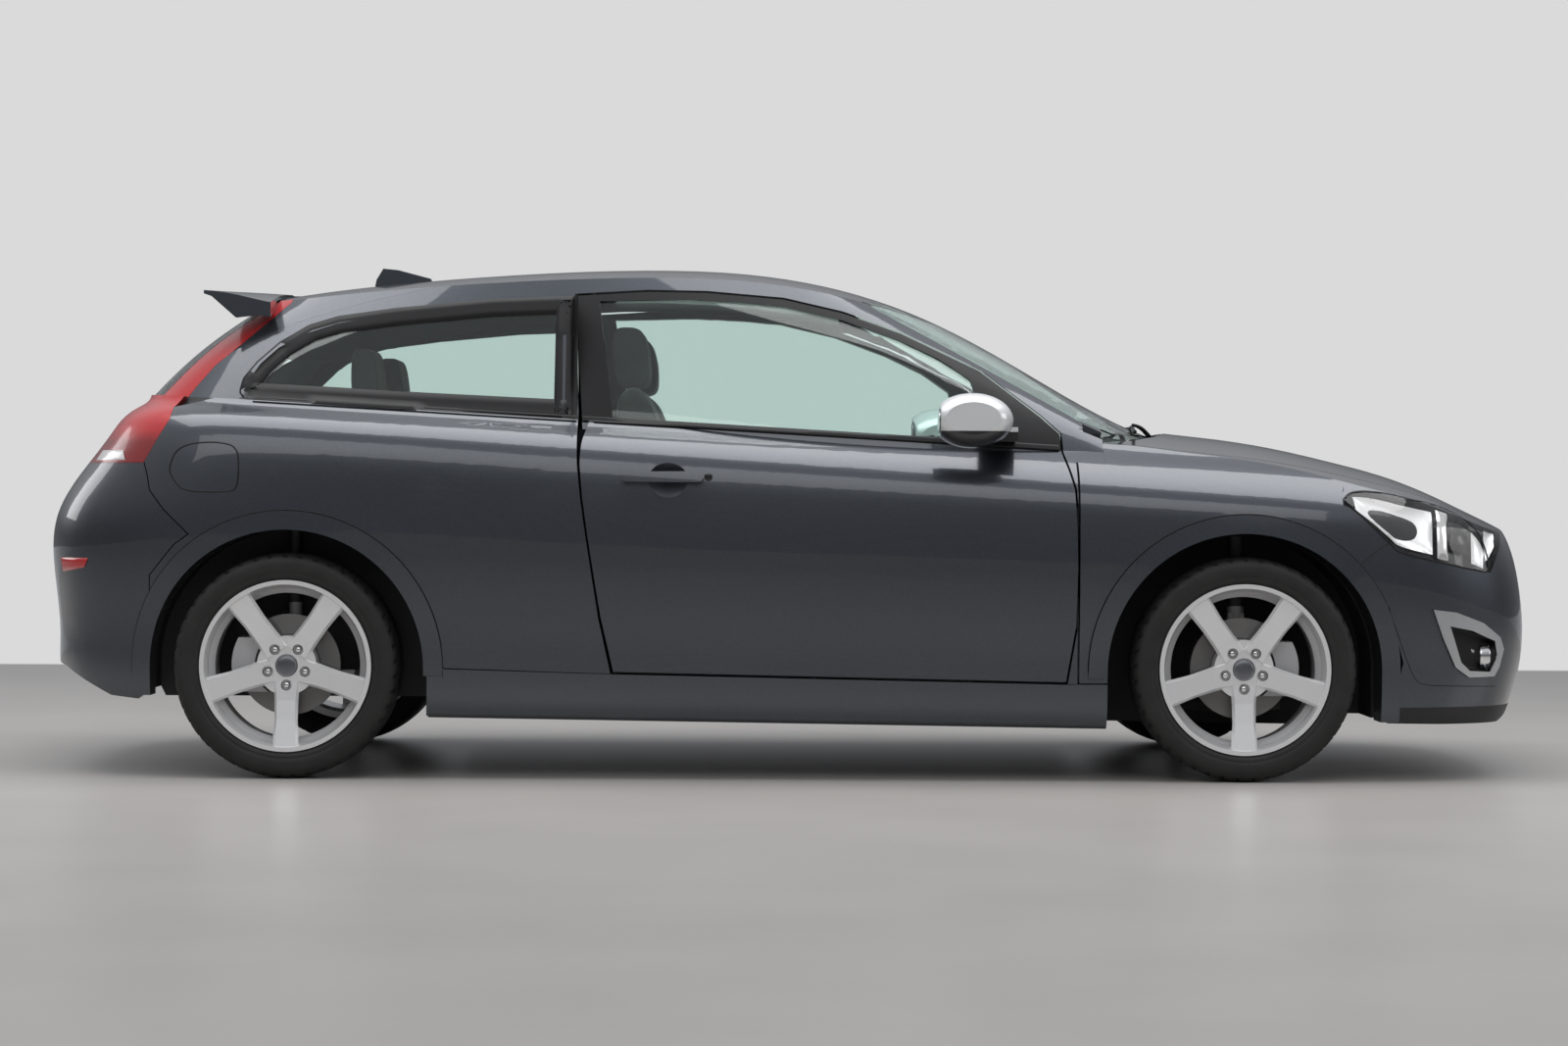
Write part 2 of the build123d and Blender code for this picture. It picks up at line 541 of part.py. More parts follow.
def rear_structure():
    """Load floor, wheelhouses, inner quarters and rear panel."""
    half = DOOR_INNER_Y - SEAT_GAP
    core = (LOW_CORE & BELT) & box(-2100, -905.3, -half, half, 215, 1200)
    core -= box(-1930, -1330, -560, 560, 560, 1200)
    core -= box(-1331, -900, -600, 600, 330, 1200)
    core -= box(REAR_AXLE_X - 90, REAR_AXLE_X + 90, -700, 700, 0, 345)
    core -= box(-1560, -900, -60, 60, 0, 345)
    core -= box(-1890, -1550, -410, 410, 0, 385)
    core -= side_prism([(-2300, 100), (-1700, 100), (-1800, 300), (-2300, 400)], -FAR, FAR)
    core = core - HATCH_CUT - LAMP_CUT - mirrored(LAMP_CUT)
    return core - REAR_WELL - mirrored(REAR_WELL)


def front_bumper():
    region = side_prism(FRONT_SEAM + FRONT_EDGE, -FAR, FAR)
    shell = (NOSE & region) - LOW_INNER
    shell = shell - bonnet_prism(GAP) - end_prism(INTAKE, 1900, 2300) - end_prism(GRILLE, 1900, 2300)
    fog = side_prism(grown(FOG_OUTER, TRIM_SEAM), -FAR, -400)
    return shell - arch_cut(FRONT_AXLE_X, 600) - mirrored(arch_cut(FRONT_AXLE_X, 600)) - fog - mirrored(fog)


def grille():
    frame = (NOSE & end_prism(GRILLE, 1900, 2300, -SEAT_GAP)) - LOW_INNER
    holes = end_prism(GRILLE_HOLES, 1900, 2300)
    for z in range(418, 630, GRILLE_PITCH):
        frame -= holes & box(1900, 2300, -400, 400, z, z + GRILLE_PITCH - GRILLE_BAR)
    return frame


def fog_lamp():
    """A bright surround, a mesh panel set back in it and a round lamp."""
    ring = (LOW_PROUD & (side_prism(FOG_OUTER, -FAR, -400) - side_prism(FOG_INNER, -FAR, -400))) - LOW_INNER
    panel = (lower_body(25) & side_prism(FOG_INNER, -FAR, -400)) - LOW_INNER
    lamp = along(-FOG_LAMP_Y, FOG_LAMP_Z, FOG_LAMP_R, 1900, 1985) & side_prism(FOG_INNER)
    return ring + panel + lamp


def headlamp():
    lamp = (NOSE & side_prism(HEADLAMP)) - inside_fenders()
    return lamp


def tail_lamp():
    low = (REAR_LOW & side_prism(TAIL_LAMP, -FAR, -TAIL_LAMP_INNER_Y)) - LOW_INNER
    high = (CABIN & side_prism(TAIL_LAMP, -FAR, -TAIL_LAMP_INNER_Y)) - CABIN_INNER
    return low + high - HATCH_CUT


def rear_bumper():
    region = side_prism(REAR_SEAM, -FAR, FAR)
    shell = (REAR_LOW & region) - LOW_INNER
    cut = arch_cut(REAR_AXLE_X, 600)
    return shell - HATCH_CUT - cut - mirrored(cut) - REAR_WELL - mirrored(REAR_WELL)


def side_skirt():
    skirt = LOW_PROUD & side_prism(SKIRT, -FAR, -SKIRT_INNER_Y - SEAT_GAP)
    return skirt - REAR_WELL - FRONT_WELL - arch_cut(REAR_AXLE_X, 600) - arch_cut(FRONT_AXLE_X, 600)


def arch_flare(x, inner_y):
    """The proud lip round one wheel arch."""
    return LOW_PROUD & arch_band(x, inner_y)


def windscreen():
    pane = CABIN & SCREEN_CUT & box(150, 1150, -700, 700, 900, 1500)
    return pane - (CABIN_SKIN & under_roof(GLASS))


def tailgate_glass():
    return (CABIN & end_prism(HATCH_EDGE, -2400, HATCH_FRONT_X)) - (CABIN_SKIN & under_roof(GLASS))


def tailgate_frame():
    ring = CABIN_SKIN & under_roof(GLASS) & end_prism(HATCH_EDGE, -2400, HATCH_FRONT_X, -HATCH_SET_IN)
    ring -= cabin_body(HATCH_THICK) & under_roof(HATCH_THICK)
    return ring - end_prism(HATCH_WINDOW, -2400, HATCH_FRONT_X + 60)


def rear_spoiler():
    """A blade over the tailgate's top edge that flattens towards its tip, with a fin down each end."""
    top = crowned(SPOILER_TOP, 1000)
    blade = box(SPOILER_TIP_X, HATCH_FRONT_X, -SPOILER_HALF, SPOILER_HALF, 1200, 1500) & top
    blade = blade - crowned(SPOILER_UNDER, 900) - CABIN
    end = side_prism(SPOILER_END, -SPOILER_HALF, SPOILER_END_THICK - SPOILER_HALF) & top
    end -= cabin_body(-GAP)
    outboard = box(-1700, -1400, -600, -505, 1200, 1500) & cabin_body(-GAP)
    blade = blade - outboard - mirrored(outboard) + end + mirrored(end)
    for side in (-1, 1):
        y0, y1 = sorted((side * (HATCH_HINGE_Y - SEAT_GAP / 2), side * (HATCH_HINGE_Y - BARREL_LENGTH)))
        blade += across(HATCH_HINGE_X, HATCH_HINGE_Z, HATCH_BARREL_R, y0, y1)
        blade += box(HATCH_HINGE_X - 20, HATCH_HINGE_X, y0, y1, HATCH_HINGE_Z - 2, HATCH_HINGE_Z + 4)
    return blade


def mirror():
    """The housing, flat towards the driver, on its stalk from the door's sail."""
    shells = []
    for y, length, height, z in MIRROR_SECTIONS:
        ring = Ellipse(length, height).wire().rotate(Axis.X, 90)
        shells.append(ring.moved(Location((MIRROR_X, -y, z))))
    housing = Solid.make_loft(shells) & box(MIRROR_X - MIRROR_FLAT, 700, -FAR - 50, -800, 800, 1200)
    stalk = box(520, 620, -MIRROR_SECTIONS[1][0], -748, 935, 975)
    return housing + stalk - CABIN - LOW


def door_handle():
    bar = side_prism([(-462, 820), (-468, 834), (-460, 848), (-250, 850), (-243, 834), (-250, 820)], -FAR, -800)
    feet = box(-462, -425, -FAR, -800, 822, 848) + box(-290, -252, -FAR, -800, 822, 848)
    outer = lower_body(-28)
    return ((outer & bar) - lower_body(-12)) + ((lower_body(-13) & feet) - LOW)


# Wheels: about the Y axis with the outer face towards -Y
WHEELS = {"front_right": (FRONT_AXLE_X, -HALF_TRACK), "front_left": (FRONT_AXLE_X, HALF_TRACK),
          "rear_right": (REAR_AXLE_X, -HALF_TRACK), "rear_left": (REAR_AXLE_X, HALF_TRACK)}


def turned(section):
    """A ring about the Y axis from its section in radius and y."""
    return revolve(outline_face(section, lambda r, y: (r, y, 0)), axis=Axis.Y)


def spoke():
    """One spoke, pointing down, through sections each given by radius, half width, front and back."""
    sections = []
    for r, half, front, back in SPOKE_SECTIONS:
        points = [(-half, front + 9), (7 - half, front), (half - 7, front), (half, front + 9), (half - 4, back),
                  (4 - half, back)]
        sections.append(Wire(Polyline(*[(x, y, -r) for x, y in points], close=True).edges()))
    return Solid.make_loft(sections, ruled=True)


def wheel():
    """A five-spoke rim with its hub, cap, bolt holes and brake disc."""
    half = RIM_WIDTH / 2
    rim = turned([(RIM_R - 12, -half), (RIM_R, -half), (RIM_R, 8 - half), (RIM_R - 13, 14 - half),
                  (RIM_R - 14, 40 - half), (RIM_R - 28, 60 - half), (RIM_R - 22, half - 16), (RIM_R - 12, half - 10),
                  (RIM_R, half - 8), (RIM_R, half), (RIM_R - 20, half), (RIM_R - 30, half - 18),
                  (RIM_R - 36, 60 - half), (RIM_R - 22, 36 - half)])
    whole = rim + across(0, 0, HUB_R, -64, 40) + across(0, 0, DISC_R, 12, 36)
    bolt_hole = across(0, -BOLT_CIRCLE_R, BOLT_HOLE_R, -80, -50)
    for i in range(SPOKES):
        whole += spoke().rotate(Axis.Y, 360 / SPOKES * i)
    for i in range(SPOKES):
        whole -= bolt_hole.rotate(Axis.Y, 360 / SPOKES * i)
    return whole - across(0, 0, CAP_R, -80, -50) + across(0, 0, CAP_R - 1, -66, -50)


def tyre():
    """Plain outside: a flat tread between two sidewalls, seated on the rim."""
    bead = RIM_WIDTH / 2 - 2
    half = TYRE_WIDTH / 2
    return turned([(RIM_R + SEAT_GAP, -bead), (TYRE_R, -half), (TYRE_R, half), (RIM_R + SEAT_GAP, bead)])


def at_wheel(shape, name):
    x, y = WHEELS[name]
    return (shape if y < 0 else mirrored(shape)).moved(Location((x, y, TYRE_R)))


def caliper(way):
    """A brake caliper over the disc, on the front side for way 1 and on the rear for -1."""
    ring = across(0, 0, DISC_R + 18, -16, 62) - across(0, 0, 94, -20, 80) - across(0, 0, DISC_R + 4, 9, 39)
    return ring & box(min(0, way * 200), max(0, way * 200), -20, 70, -75, 75) & box(-160, 160, -20, 70, -75, 75)


def knuckle():
    """The steered hub carrier with its caliper, lower lug, strut and strut lug, about the wheel's centre."""
    carrier = across(0, 0, 52, 40 + SEAT_GAP, 74)
    lug = box(-20, 20, 40 + SEAT_GAP, 84, -100, 0)
    arm = box(-22, 22, 60, 155, 20, 60) + box(-22, 22, 118, 160, 20, 150)
    strut = upright(0, 139, 24, 120, 366)
    bracket = box(0, 120, 46, 62, -25, 25)
    return carrier + lug + arm + strut + bracket + caliper(1)


def rear_axle():
    """The cross beam, with a trailing arm, a hub carrier, a caliper and a damper at each end."""
    side = across(0, 0, 50, 40 + SEAT_GAP, 74) + box(-25, 25, 60, 140, -40, 10)
    side += box(0, 250, 112, 150, -60, -20)
    side += upright(0, 132, 18, -20, ARCH_Z + ARCH_R - TYRE_R - SEAT_GAP - 0.4)
    side += box(-120, 0, 46, 62, -25, 25) + caliper(-1)
    side = side.moved(Location((REAR_AXLE_X, -HALF_TRACK, TYRE_R)))
    beam = box(REAR_AXLE_X - 35, REAR_AXLE_X + 35, -650, 650, 240, 275)
    for y in (-300, 300):
        beam += box(REAR_AXLE_X - 25, REAR_AXLE_X + 25, y - 30, y + 30, 270, 345 - SEAT_GAP)
    return side + mirrored(side) + beam


def front_arm():
    """A lower wishbone from the apron to the ball joint under the kingpin."""
    inner = -FRONT_WELL_Y - SEAT_GAP
    top = TYRE_R - 100 - SEAT_GAP
    points = [(FRONT_AXLE_X - 150, inner), (FRONT_AXLE_X + 150, inner), (FRONT_AXLE_X + 150, inner - 40),
              (FRONT_AXLE_X + 22, -KINGPIN_Y), (FRONT_AXLE_X - 22, -KINGPIN_Y), (FRONT_AXLE_X - 150, inner - 40)]
    plate = extrude(outline_face(points, lambda x, y: (x, y, top - 28)), 28, dir=(0, 0, 1))
    shaft = across(FRONT_AXLE_X, TYRE_R, 14, -600, inner) + across(FRONT_AXLE_X, TYRE_R, 36, -500, inner)
    return plate - upright(FRONT_AXLE_X, -540, 40, 0, 400) + upright(FRONT_AXLE_X, -KINGPIN_Y, 22, top - 28, top), shaft


def exhaust():
    pipe = along(0, 308, 22, -1570, 850) + box(-15, 15, -10, 10, 325, TUNNEL_Z - 35 - SEAT_GAP)
    silencer = box(-1880, -1560, -400, 400, 245, 385 - SEAT_GAP)
    silencer = fillet(silencer.edges().filter_by(Axis.Y), 45)
    return pipe + silencer + along(330, 272, 26, -2085, -1870)


COLUMN_TILT = 25
COLUMN_LENGTH = 250
COLUMN_R = 22
WHEEL_RIM_R = 185
STEERING_Y = 370
STEERING_X = 360
STEERING_Z = 790


def on_column(shape):
    """A shape about the Z axis, tilted and moved to the steering column's line."""
    return shape.rotate(Axis.Z, 90).rotate(Axis.Y, COLUMN_TILT - 90).moved(Location((STEERING_X, STEERING_Y, STEERING_Z)))


def dashboard():
    """The instrument panel with the steering column's collar and the centre console."""
    profile = [(866, 880), (866, 640), (780, 560), (650, 600), (600, 700), (605, 830), (680, 895), (800, 905)]
    panel = side_prism(profile, -650, 650)
    collar = Cylinder(COLUMN_R + 10, 90).moved(Location((0, 0, -COLUMN_LENGTH - SEAT_GAP - 45)))
    return panel + on_column(collar) + box(-200, 720, -110, 110, TUNNEL_Z + SEAT_GAP, 605)


def steering_wheel():
    """A three-spoke steering wheel on its column, which runs down into the dashboard."""
    rim = Torus(WHEEL_RIM_R, 15)
    hub = Cylinder(55, 40)
    spokes = Box(2 * WHEEL_RIM_R - 4, 34, 14) + Box(34, WHEEL_RIM_R - 2, 14).moved(Location((0, 1 - WHEEL_RIM_R / 2, 0)))
    column = Cylinder(COLUMN_R, COLUMN_LENGTH).moved(Location((0, 0, -COLUMN_LENGTH / 2)))
    return on_column(rim + hub + spokes + column)


def seat(profile, headrest, y, half):
    body = side_prism(profile, y - half, y + half)
    return body + side_prism(headrest, y - 125, y + 125)


FRONT_SEAT = [(-250, 240.3), (120, 240.3), (140, 330), (190, 380), (180, 440), (60, 455), (-190, 440), (-265, 560),
              (-380, 1010), (-420, 1090), (-480, 1085), (-500, 1000), (-400, 560), (-330, 400)]
FRONT_HEADREST = [(-430, 1075), (-395, 1110), (-415, 1240), (-470, 1266), (-515, 1240), (-500, 1110), (-470, 1075)]
REAR_SEAT = [(-1110, 330.3), (-700, 330.3), (-650, 420), (-680, 460), (-1050, 440), (-1120, 560), (-1190, 980),
             (-1250, 1010), (-1290, 980), (-1240, 500)]
REAR_HEADREST = [(-1195, 990), (-1168, 1040), (-1180, 1180), (-1220, 1203), (-1262, 1180), (-1255, 1040), (-1250, 990)]


def make_right():
    """The pieces that have a twin on the left, each in a node of its own."""
    return {"body_side": body_side(), "fender": fender(), "door": door(), "door_glass": side_pane(DOOR_WINDOW),
            "mirror": mirror(), "door_handle": door_handle()}


def make_paired():
    """Pairs that share a node."""
    arm, shaft = front_arm()
    post = box(700, POST_X + POST_REACH + SEAT_GAP, -POST_OUTER_Y - SEAT_GAP, 0, 0, 1200)
    front_flare = arch_flare(FRONT_AXLE_X, 706) - post
    flares = Compound(children=[*front_flare.solids(), *arch_flare(REAR_AXLE_X, 716).solids()])
    front_seat = seat(FRONT_SEAT, FRONT_HEADREST, -370, 240)
    rear = seat(REAR_SEAT, REAR_HEADREST, -360, 225)
    return {"headlamps": headlamp(), "tail_lamps": tail_lamp(), "fog_lamps": fog_lamp(), "side_skirts": side_skirt(),
            "arch_flares": flares, "quarter_glass": side_pane(QUARTER_WINDOW), "front_arms": arm,
            "drive_shafts": shaft, "front_seats": front_seat, "rear_seats": rear}


def make_middle():
    return {"roof": roof(), "bonnet": bonnet(), "front_structure": front_structure(), "floor_pan": floor_pan(),
            "rear_structure": rear_structure(), "front_bumper": front_bumper(), "grille": grille(),
            "rear_bumper": rear_bumper(), "windscreen": windscreen(), "tailgate_glass": tailgate_glass(),
            "tailgate_frame": tailgate_frame(), "rear_spoiler": rear_spoiler(), "rear_axle": rear_axle(),
            "engine": box(1200, 1700, -330, 330, 190 + SEAT_GAP, 720), "exhaust": exhaust(),
            "dashboard": dashboard(), "steering_wheel": steering_wheel()}


for name, shape in make_right().items():
    save(name + "_right", shape)
    save(name + "_left", mirrored(shape))
for name, shape in make_paired().items():
    save(name, both(shape))
for name, shape in make_middle().items():
    save(name, shape)
WHEEL, TYRE, KNUCKLE = wheel(), tyre(), knuckle()
for name in WHEELS:
    save("wheel_" + name, at_wheel(WHEEL, name))
    save("tyre_" + name, at_wheel(TYRE, name))
for side in ("front_right", "front_left"):
    save("knuckle_" + side, at_wheel(KNUCKLE, side))
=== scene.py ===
"""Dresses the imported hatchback: finishes for its panels, and its tyres, lamps, seals and trim in detail."""
import bpy
import numpy as np
from math import cos, pi, radians, sin, tau
from mathutils import Matrix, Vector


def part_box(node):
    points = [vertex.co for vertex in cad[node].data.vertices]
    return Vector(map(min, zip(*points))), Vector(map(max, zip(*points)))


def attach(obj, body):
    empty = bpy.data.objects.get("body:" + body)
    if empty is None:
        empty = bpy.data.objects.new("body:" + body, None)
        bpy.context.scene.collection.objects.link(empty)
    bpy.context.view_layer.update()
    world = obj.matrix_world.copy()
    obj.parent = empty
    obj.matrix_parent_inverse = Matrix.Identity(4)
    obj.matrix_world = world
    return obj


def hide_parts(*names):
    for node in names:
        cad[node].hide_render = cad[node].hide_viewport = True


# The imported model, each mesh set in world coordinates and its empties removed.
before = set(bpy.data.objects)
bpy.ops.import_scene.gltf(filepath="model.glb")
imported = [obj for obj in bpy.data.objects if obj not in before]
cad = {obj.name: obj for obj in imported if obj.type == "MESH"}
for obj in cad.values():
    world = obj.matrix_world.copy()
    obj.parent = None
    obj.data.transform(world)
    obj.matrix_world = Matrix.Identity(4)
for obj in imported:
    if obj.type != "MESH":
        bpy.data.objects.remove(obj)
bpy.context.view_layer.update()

# The camera stands 11 m off the car's right side, a little below the belt line, with a long lens.
# It looks almost square on: the aim is a third of a degree forward and under half a degree down.
VIEW_POINT = (-0.076, -11.175, 0.783)
LENS_MM = 86.1
SENSOR_MM = 36
AIM_RIGHT = radians(0.299)
AIM_DOWN = radians(0.412)
ROLL = radians(0.263)
camera_data = bpy.data.cameras.new("camera")
camera_data.lens = LENS_MM
camera_data.sensor_width = SENSOR_MM
camera = bpy.data.objects.new("camera", camera_data)
bpy.context.scene.collection.objects.link(camera)
camera.matrix_world = (Matrix.Translation(VIEW_POINT) @ Matrix.Rotation(-AIM_RIGHT, 4, "Z")
                       @ Matrix.Rotation(pi / 2 - AIM_DOWN, 4, "X") @ Matrix.Rotation(ROLL, 4, "Z"))
bpy.context.scene.camera = camera


# The room: a smooth grey floor that turns into a paler wall behind the car. Both are one plane, because the
# wall is only ever seen as the plane's far part, past WALL_START.
WALL_START = 5.9
WALL_BLEND = 0.15
FLOOR_REACH = 40
FLOOR_GREY = (0.45, 0.43, 0.41, 1)
WALL_GREY = (0.70, 0.70, 0.70, 1)


def new_material(name):
    """A material, its node tree and its shader."""
    made = bpy.data.materials.new(name)
    made.use_nodes = True
    return made, made.node_tree, made.node_tree.nodes["Principled BSDF"]


def fill_in(node, **values):
    """Sets a node's properties and inputs by name, and inputs by number after an underscore. A value that is
    another node's socket is linked."""
    for name, value in values.items():
        if hasattr(node, name):
            setattr(node, name, value)
            continue
        socket = node.inputs[int(name[1:])] if name[0] == "_" else node.inputs[name.replace("_", " ")]
        if isinstance(value, bpy.types.NodeSocket):
            node.id_data.links.new(value, socket)
        else:
            socket.default_value = value


def add_node(tree, kind, **values):
    """A shader node of that kind, filled in."""
    node = tree.nodes.new("ShaderNode" + kind)
    fill_in(node, **values)
    return node


def maths(tree, operation, first, second=0.0, third=0.0):
    """The outcome of an operation on up to three numbers or sockets."""
    return add_node(tree, "Math", operation=operation, _0=first, _1=second, _2=third).outputs[0]


def ranged(tree, value, **limits):
    """A value mapped from one range to another, from 0 to 1 where a limit isn't given."""
    return add_node(tree, "MapRange", Value=value, **limits).outputs["Result"]


def mixed(tree, share, first, second, **how):
    """The first colour turned into the second by a share."""
    return add_node(tree, "Mix", data_type="RGBA", _0=share, _6=first, _7=second, **how).outputs[2]


def noise(tree, where, scale, detail):
    """A cloud pattern from 0 to 1."""
    return add_node(tree, "TexNoise", Vector=where, Scale=scale, Detail=detail).outputs["Fac"]


def object_place(tree):
    """Object coordinates."""
    return add_node(tree, "TexCoord").outputs["Object"]


def object_axes(tree):
    """The separate X, Y and Z of the object coordinates."""
    return add_node(tree, "SeparateXYZ", Vector=object_place(tree)).outputs


def directly_seen(tree):
    """One for what is seen straight or through glass, and zero for what lights or mirrors in something."""
    path = add_node(tree, "LightPath")
    return maths(tree, "MAXIMUM", path.outputs["Is Camera Ray"], path.outputs["Is Transmission Ray"])


def mesh_object(name, points, faces):
    """An object at the origin from arrays of points and faces."""
    mesh = bpy.data.meshes.new(name)
    mesh.from_pydata(points, [], faces)
    mesh.update()
    made = bpy.data.objects.new(name, mesh)
    bpy.context.scene.collection.objects.link(made)
    return made


floor_corners = [(x * FLOOR_REACH, y * FLOOR_REACH, 0) for x, y in ((-1, -1), (1, -1), (1, 1), (-1, 1))]
floor = mesh_object("floor", floor_corners, [(0, 1, 2, 3)])
floor_finish, tree, shader = new_material("floor_finish")
far = ranged(tree, object_axes(tree)["Y"], From_Min=WALL_START, From_Max=WALL_START + WALL_BLEND)
patches = ranged(tree, noise(tree, object_place(tree), 1.7, 6.0), To_Min=0.88, To_Max=1.08)
tone = mixed(tree, 1, FLOOR_GREY, patches, blend_type="MULTIPLY")
fill_in(shader, Base_Color=mixed(tree, far, tone, WALL_GREY), Roughness=0.30, Specular_IOR_Level=0.45)
glow = add_node(tree, "Emission", Color=WALL_GREY)
shown = add_node(tree, "MixShader", Fac=maths(tree, "MULTIPLY", far, directly_seen(tree)),
                 _1=shader.outputs["BSDF"], _2=glow.outputs["Emission"])
fill_in(tree.nodes["Material Output"], Surface=shown.outputs["Shader"])
floor.data.materials.append(floor_finish)


# Painted panels: pressed steel and moulded bumpers in a dark metallic grey, flat between the flakes and
# under a clear lacquer. Each keeps its CAD mesh.
PAINT_DARK = (0.026, 0.030, 0.038, 1)
PAINT_LIGHT = (0.070, 0.079, 0.094, 1)


def bump(tree, shader, height, strength, distance):
    """Lets a pattern raise the surface by a distance in metres."""
    raised = add_node(tree, "Bump", Strength=strength, Distance=distance, Height=height)
    fill_in(shader, Normal=raised.outputs["Normal"])


def two_tones(tree, share, dark, light):
    """A colour between two, by a share."""
    ramp = add_node(tree, "ValToRGB", Fac=share)
    ramp.color_ramp.elements[0].color = dark
    ramp.color_ramp.elements[1].color = light
    return ramp.outputs["Color"]


def flakes(tree, where, scale, dark, light):
    """Flat metal flakes: each cell of a fine pattern has its own tone between the two."""
    cells = add_node(tree, "TexVoronoi", Vector=where, Scale=scale)
    return two_tones(tree, cells.outputs["Color"], dark, light)


def metallic_paint(name="metallic_paint"):
    """Lacquered paint: flakes from a fine cell pattern under a slight orange peel."""
    made, tree, shader = new_material(name)
    where = object_place(tree)
    bump(tree, shader, noise(tree, where, 260.0, 1.0), 0.05, 0.0004)
    fill_in(shader, Base_Color=flakes(tree, where, 1400.0, PAINT_DARK, PAINT_LIGHT), Metallic=0.75,
            Roughness=0.33, Coat_Weight=1, Coat_Roughness=0.03)
    return made


def finish_nodes(material, *names):
    """Gives CAD nodes their material. Their meshes already carry the true surface's normals."""
    for name in names:
        cad[name].data.materials.clear()
        cad[name].data.materials.append(material)


finish_nodes(metallic_paint(), "body_side_right", "body_side_left", "roof", "fender_right", "fender_left",
             "bonnet", "rear_bumper", "side_skirts", "arch_flares", "rear_spoiler", "door_handle_right",
             "door_handle_left")


# Door skins and the greenhouse frame: the doors are painted below the belt line, and their window frames,
# the sail in front of the glass and the belt moulding are satin black above it.
BELT_Z = 0.958
BELT_SLOPE = 0.057
BLACK_FROM = BELT_Z - 0.006
BLACK = (0.007, 0.007, 0.008, 1)


def rubber_grain(name, colour, roughness, depth=0.0002, coat=0.0):
    """Moulded black rubber or plastic with a fine grain and a slight unevenness of sheen."""
    made, tree, shader = new_material(name)
    where = object_place(tree)
    sheen = ranged(tree, noise(tree, where, 9.0, 2.0), To_Min=roughness - 0.06, To_Max=roughness + 0.06)
    bump(tree, shader, noise(tree, where, 900.0, 3.0), 0.3, depth)
    fill_in(shader, Base_Color=colour, Roughness=sheen, Specular_IOR_Level=0.3, Coat_Weight=coat,
            Coat_Roughness=0.08)
    return made


def part_black(made, mask, **changes):
    """Turns a paint to black where the mask is one. Each change gives an input's painted and black value."""
    tree = made.node_tree
    shader = tree.nodes["Principled BSDF"]
    coloured = shader.inputs["Base Color"].links[0].from_socket
    fill_in(shader, Base_Color=mixed(tree, mask, coloured, BLACK))
    for name, (painted, black) in changes.items():
        fill_in(shader, **{name: ranged(tree, mask, To_Min=painted, To_Max=black)})
    return made


def door_paint():
    """The body's paint, turned to satin black wherever z is over the sloping belt line."""
    made = metallic_paint("door_paint")
    axes = object_axes(made.node_tree)
    height = maths(made.node_tree, "MULTIPLY_ADD", axes["X"], BELT_SLOPE, axes["Z"])
    over = maths(made.node_tree, "GREATER_THAN", height, BLACK_FROM)
    return part_black(made, over, Metallic=(0.75, 0.0), Roughness=(0.33, 0.42), Coat_Weight=(1.0, 0.0),
                      Specular_IOR_Level=(0.5, 0.25))


finish_nodes(door_paint(), "door_right", "door_left")


# Glazing: laminated and toughened panes with a green tint, the tailgate's a darker grey.
def clear_solid(name, tint, wave_scale, wave_strength, wave_depth, **values):
    """Clear glass or plastic, with a trace of waviness in its reflections."""
    made, tree, shader = new_material(name)
    bump(tree, shader, noise(tree, object_place(tree), wave_scale, 1.0), wave_strength, wave_depth)
    fill_in(shader, Base_Color=tint, Transmission_Weight=1, Roughness=0.0, **values)
    return made


side_glass = clear_solid("side_glass", (0.80, 0.93, 0.89, 1), 3.0, 0.04, 0.002, IOR=1.45)
dark_glass = clear_solid("dark_glass", (0.38, 0.42, 0.42, 1), 3.0, 0.04, 0.002, IOR=1.45)
finish_nodes(side_glass, "windscreen", "door_glass_right", "door_glass_left", "quarter_glass")
finish_nodes(dark_glass, "tailgate_glass")


# Structure, floor and running gear: seam-sealed dark steel, cast iron with a rough skin, and bare steel.
def metal(name, colour, roughness, metallic=1.0, scale=60.0, spread=0.12):
    """Metal whose tone and roughness drift with a cloud pattern, as cast or plated surfaces do."""
    made, tree, shader = new_material(name)
    cloud = noise(tree, object_place(tree), scale, 5.0)
    dark = tuple(c * (1 - spread) for c in colour) + (1,)
    light = tuple(min(1, c * (1 + spread)) for c in colour) + (1,)
    rough = ranged(tree, cloud, To_Min=roughness - 0.08, To_Max=roughness + 0.08)
    bump(tree, shader, cloud, 0.4, 0.0004)
    fill_in(shader, Base_Color=two_tones(tree, cloud, dark, light), Roughness=rough, Metallic=metallic)
    return made


finish_nodes(metal("underbody", (0.018, 0.018, 0.019), 0.7, metallic=0.0),
             "floor_pan", "front_structure", "rear_structure", "tailgate_frame")
finish_nodes(metal("cast_iron", (0.10, 0.098, 0.095), 0.62, metallic=0.6, scale=140.0),
             "front_arms", "engine")
finish_nodes(metal("bare_steel", (0.36, 0.35, 0.34), 0.42, scale=45.0), "drive_shafts", "exhaust")


# Cabin: grained dark mouldings, and seats in woven cloth.
moulding = rubber_grain("grained_moulding", (0.022, 0.022, 0.024, 1), 0.6)
gloss_black = rubber_grain("gloss_black", (0.008, 0.008, 0.009, 1), 0.22, coat=0.5, depth=0.00005)
finish_nodes(moulding, "dashboard", "steering_wheel", "grille")


def woven_cloth():
    """Dark seat cloth: two crossed waves for the weave and a soft drift of tone."""
    made, tree, shader = new_material("seat_cloth")
    where = object_place(tree)
    threads = [add_node(tree, "TexWave", Vector=where, Scale=420.0, bands_direction=way).outputs["Fac"]
               for way in ("X", "Z")]
    bump(tree, shader, maths(tree, "MAXIMUM", *threads), 0.5, 0.0005)
    tone = two_tones(tree, noise(tree, where, 14.0, 4.0), (0.020, 0.021, 0.023, 1), (0.055, 0.056, 0.060, 1))
    fill_in(shader, Base_Color=tone, Roughness=0.9, Sheen_Weight=0.3)
    return made


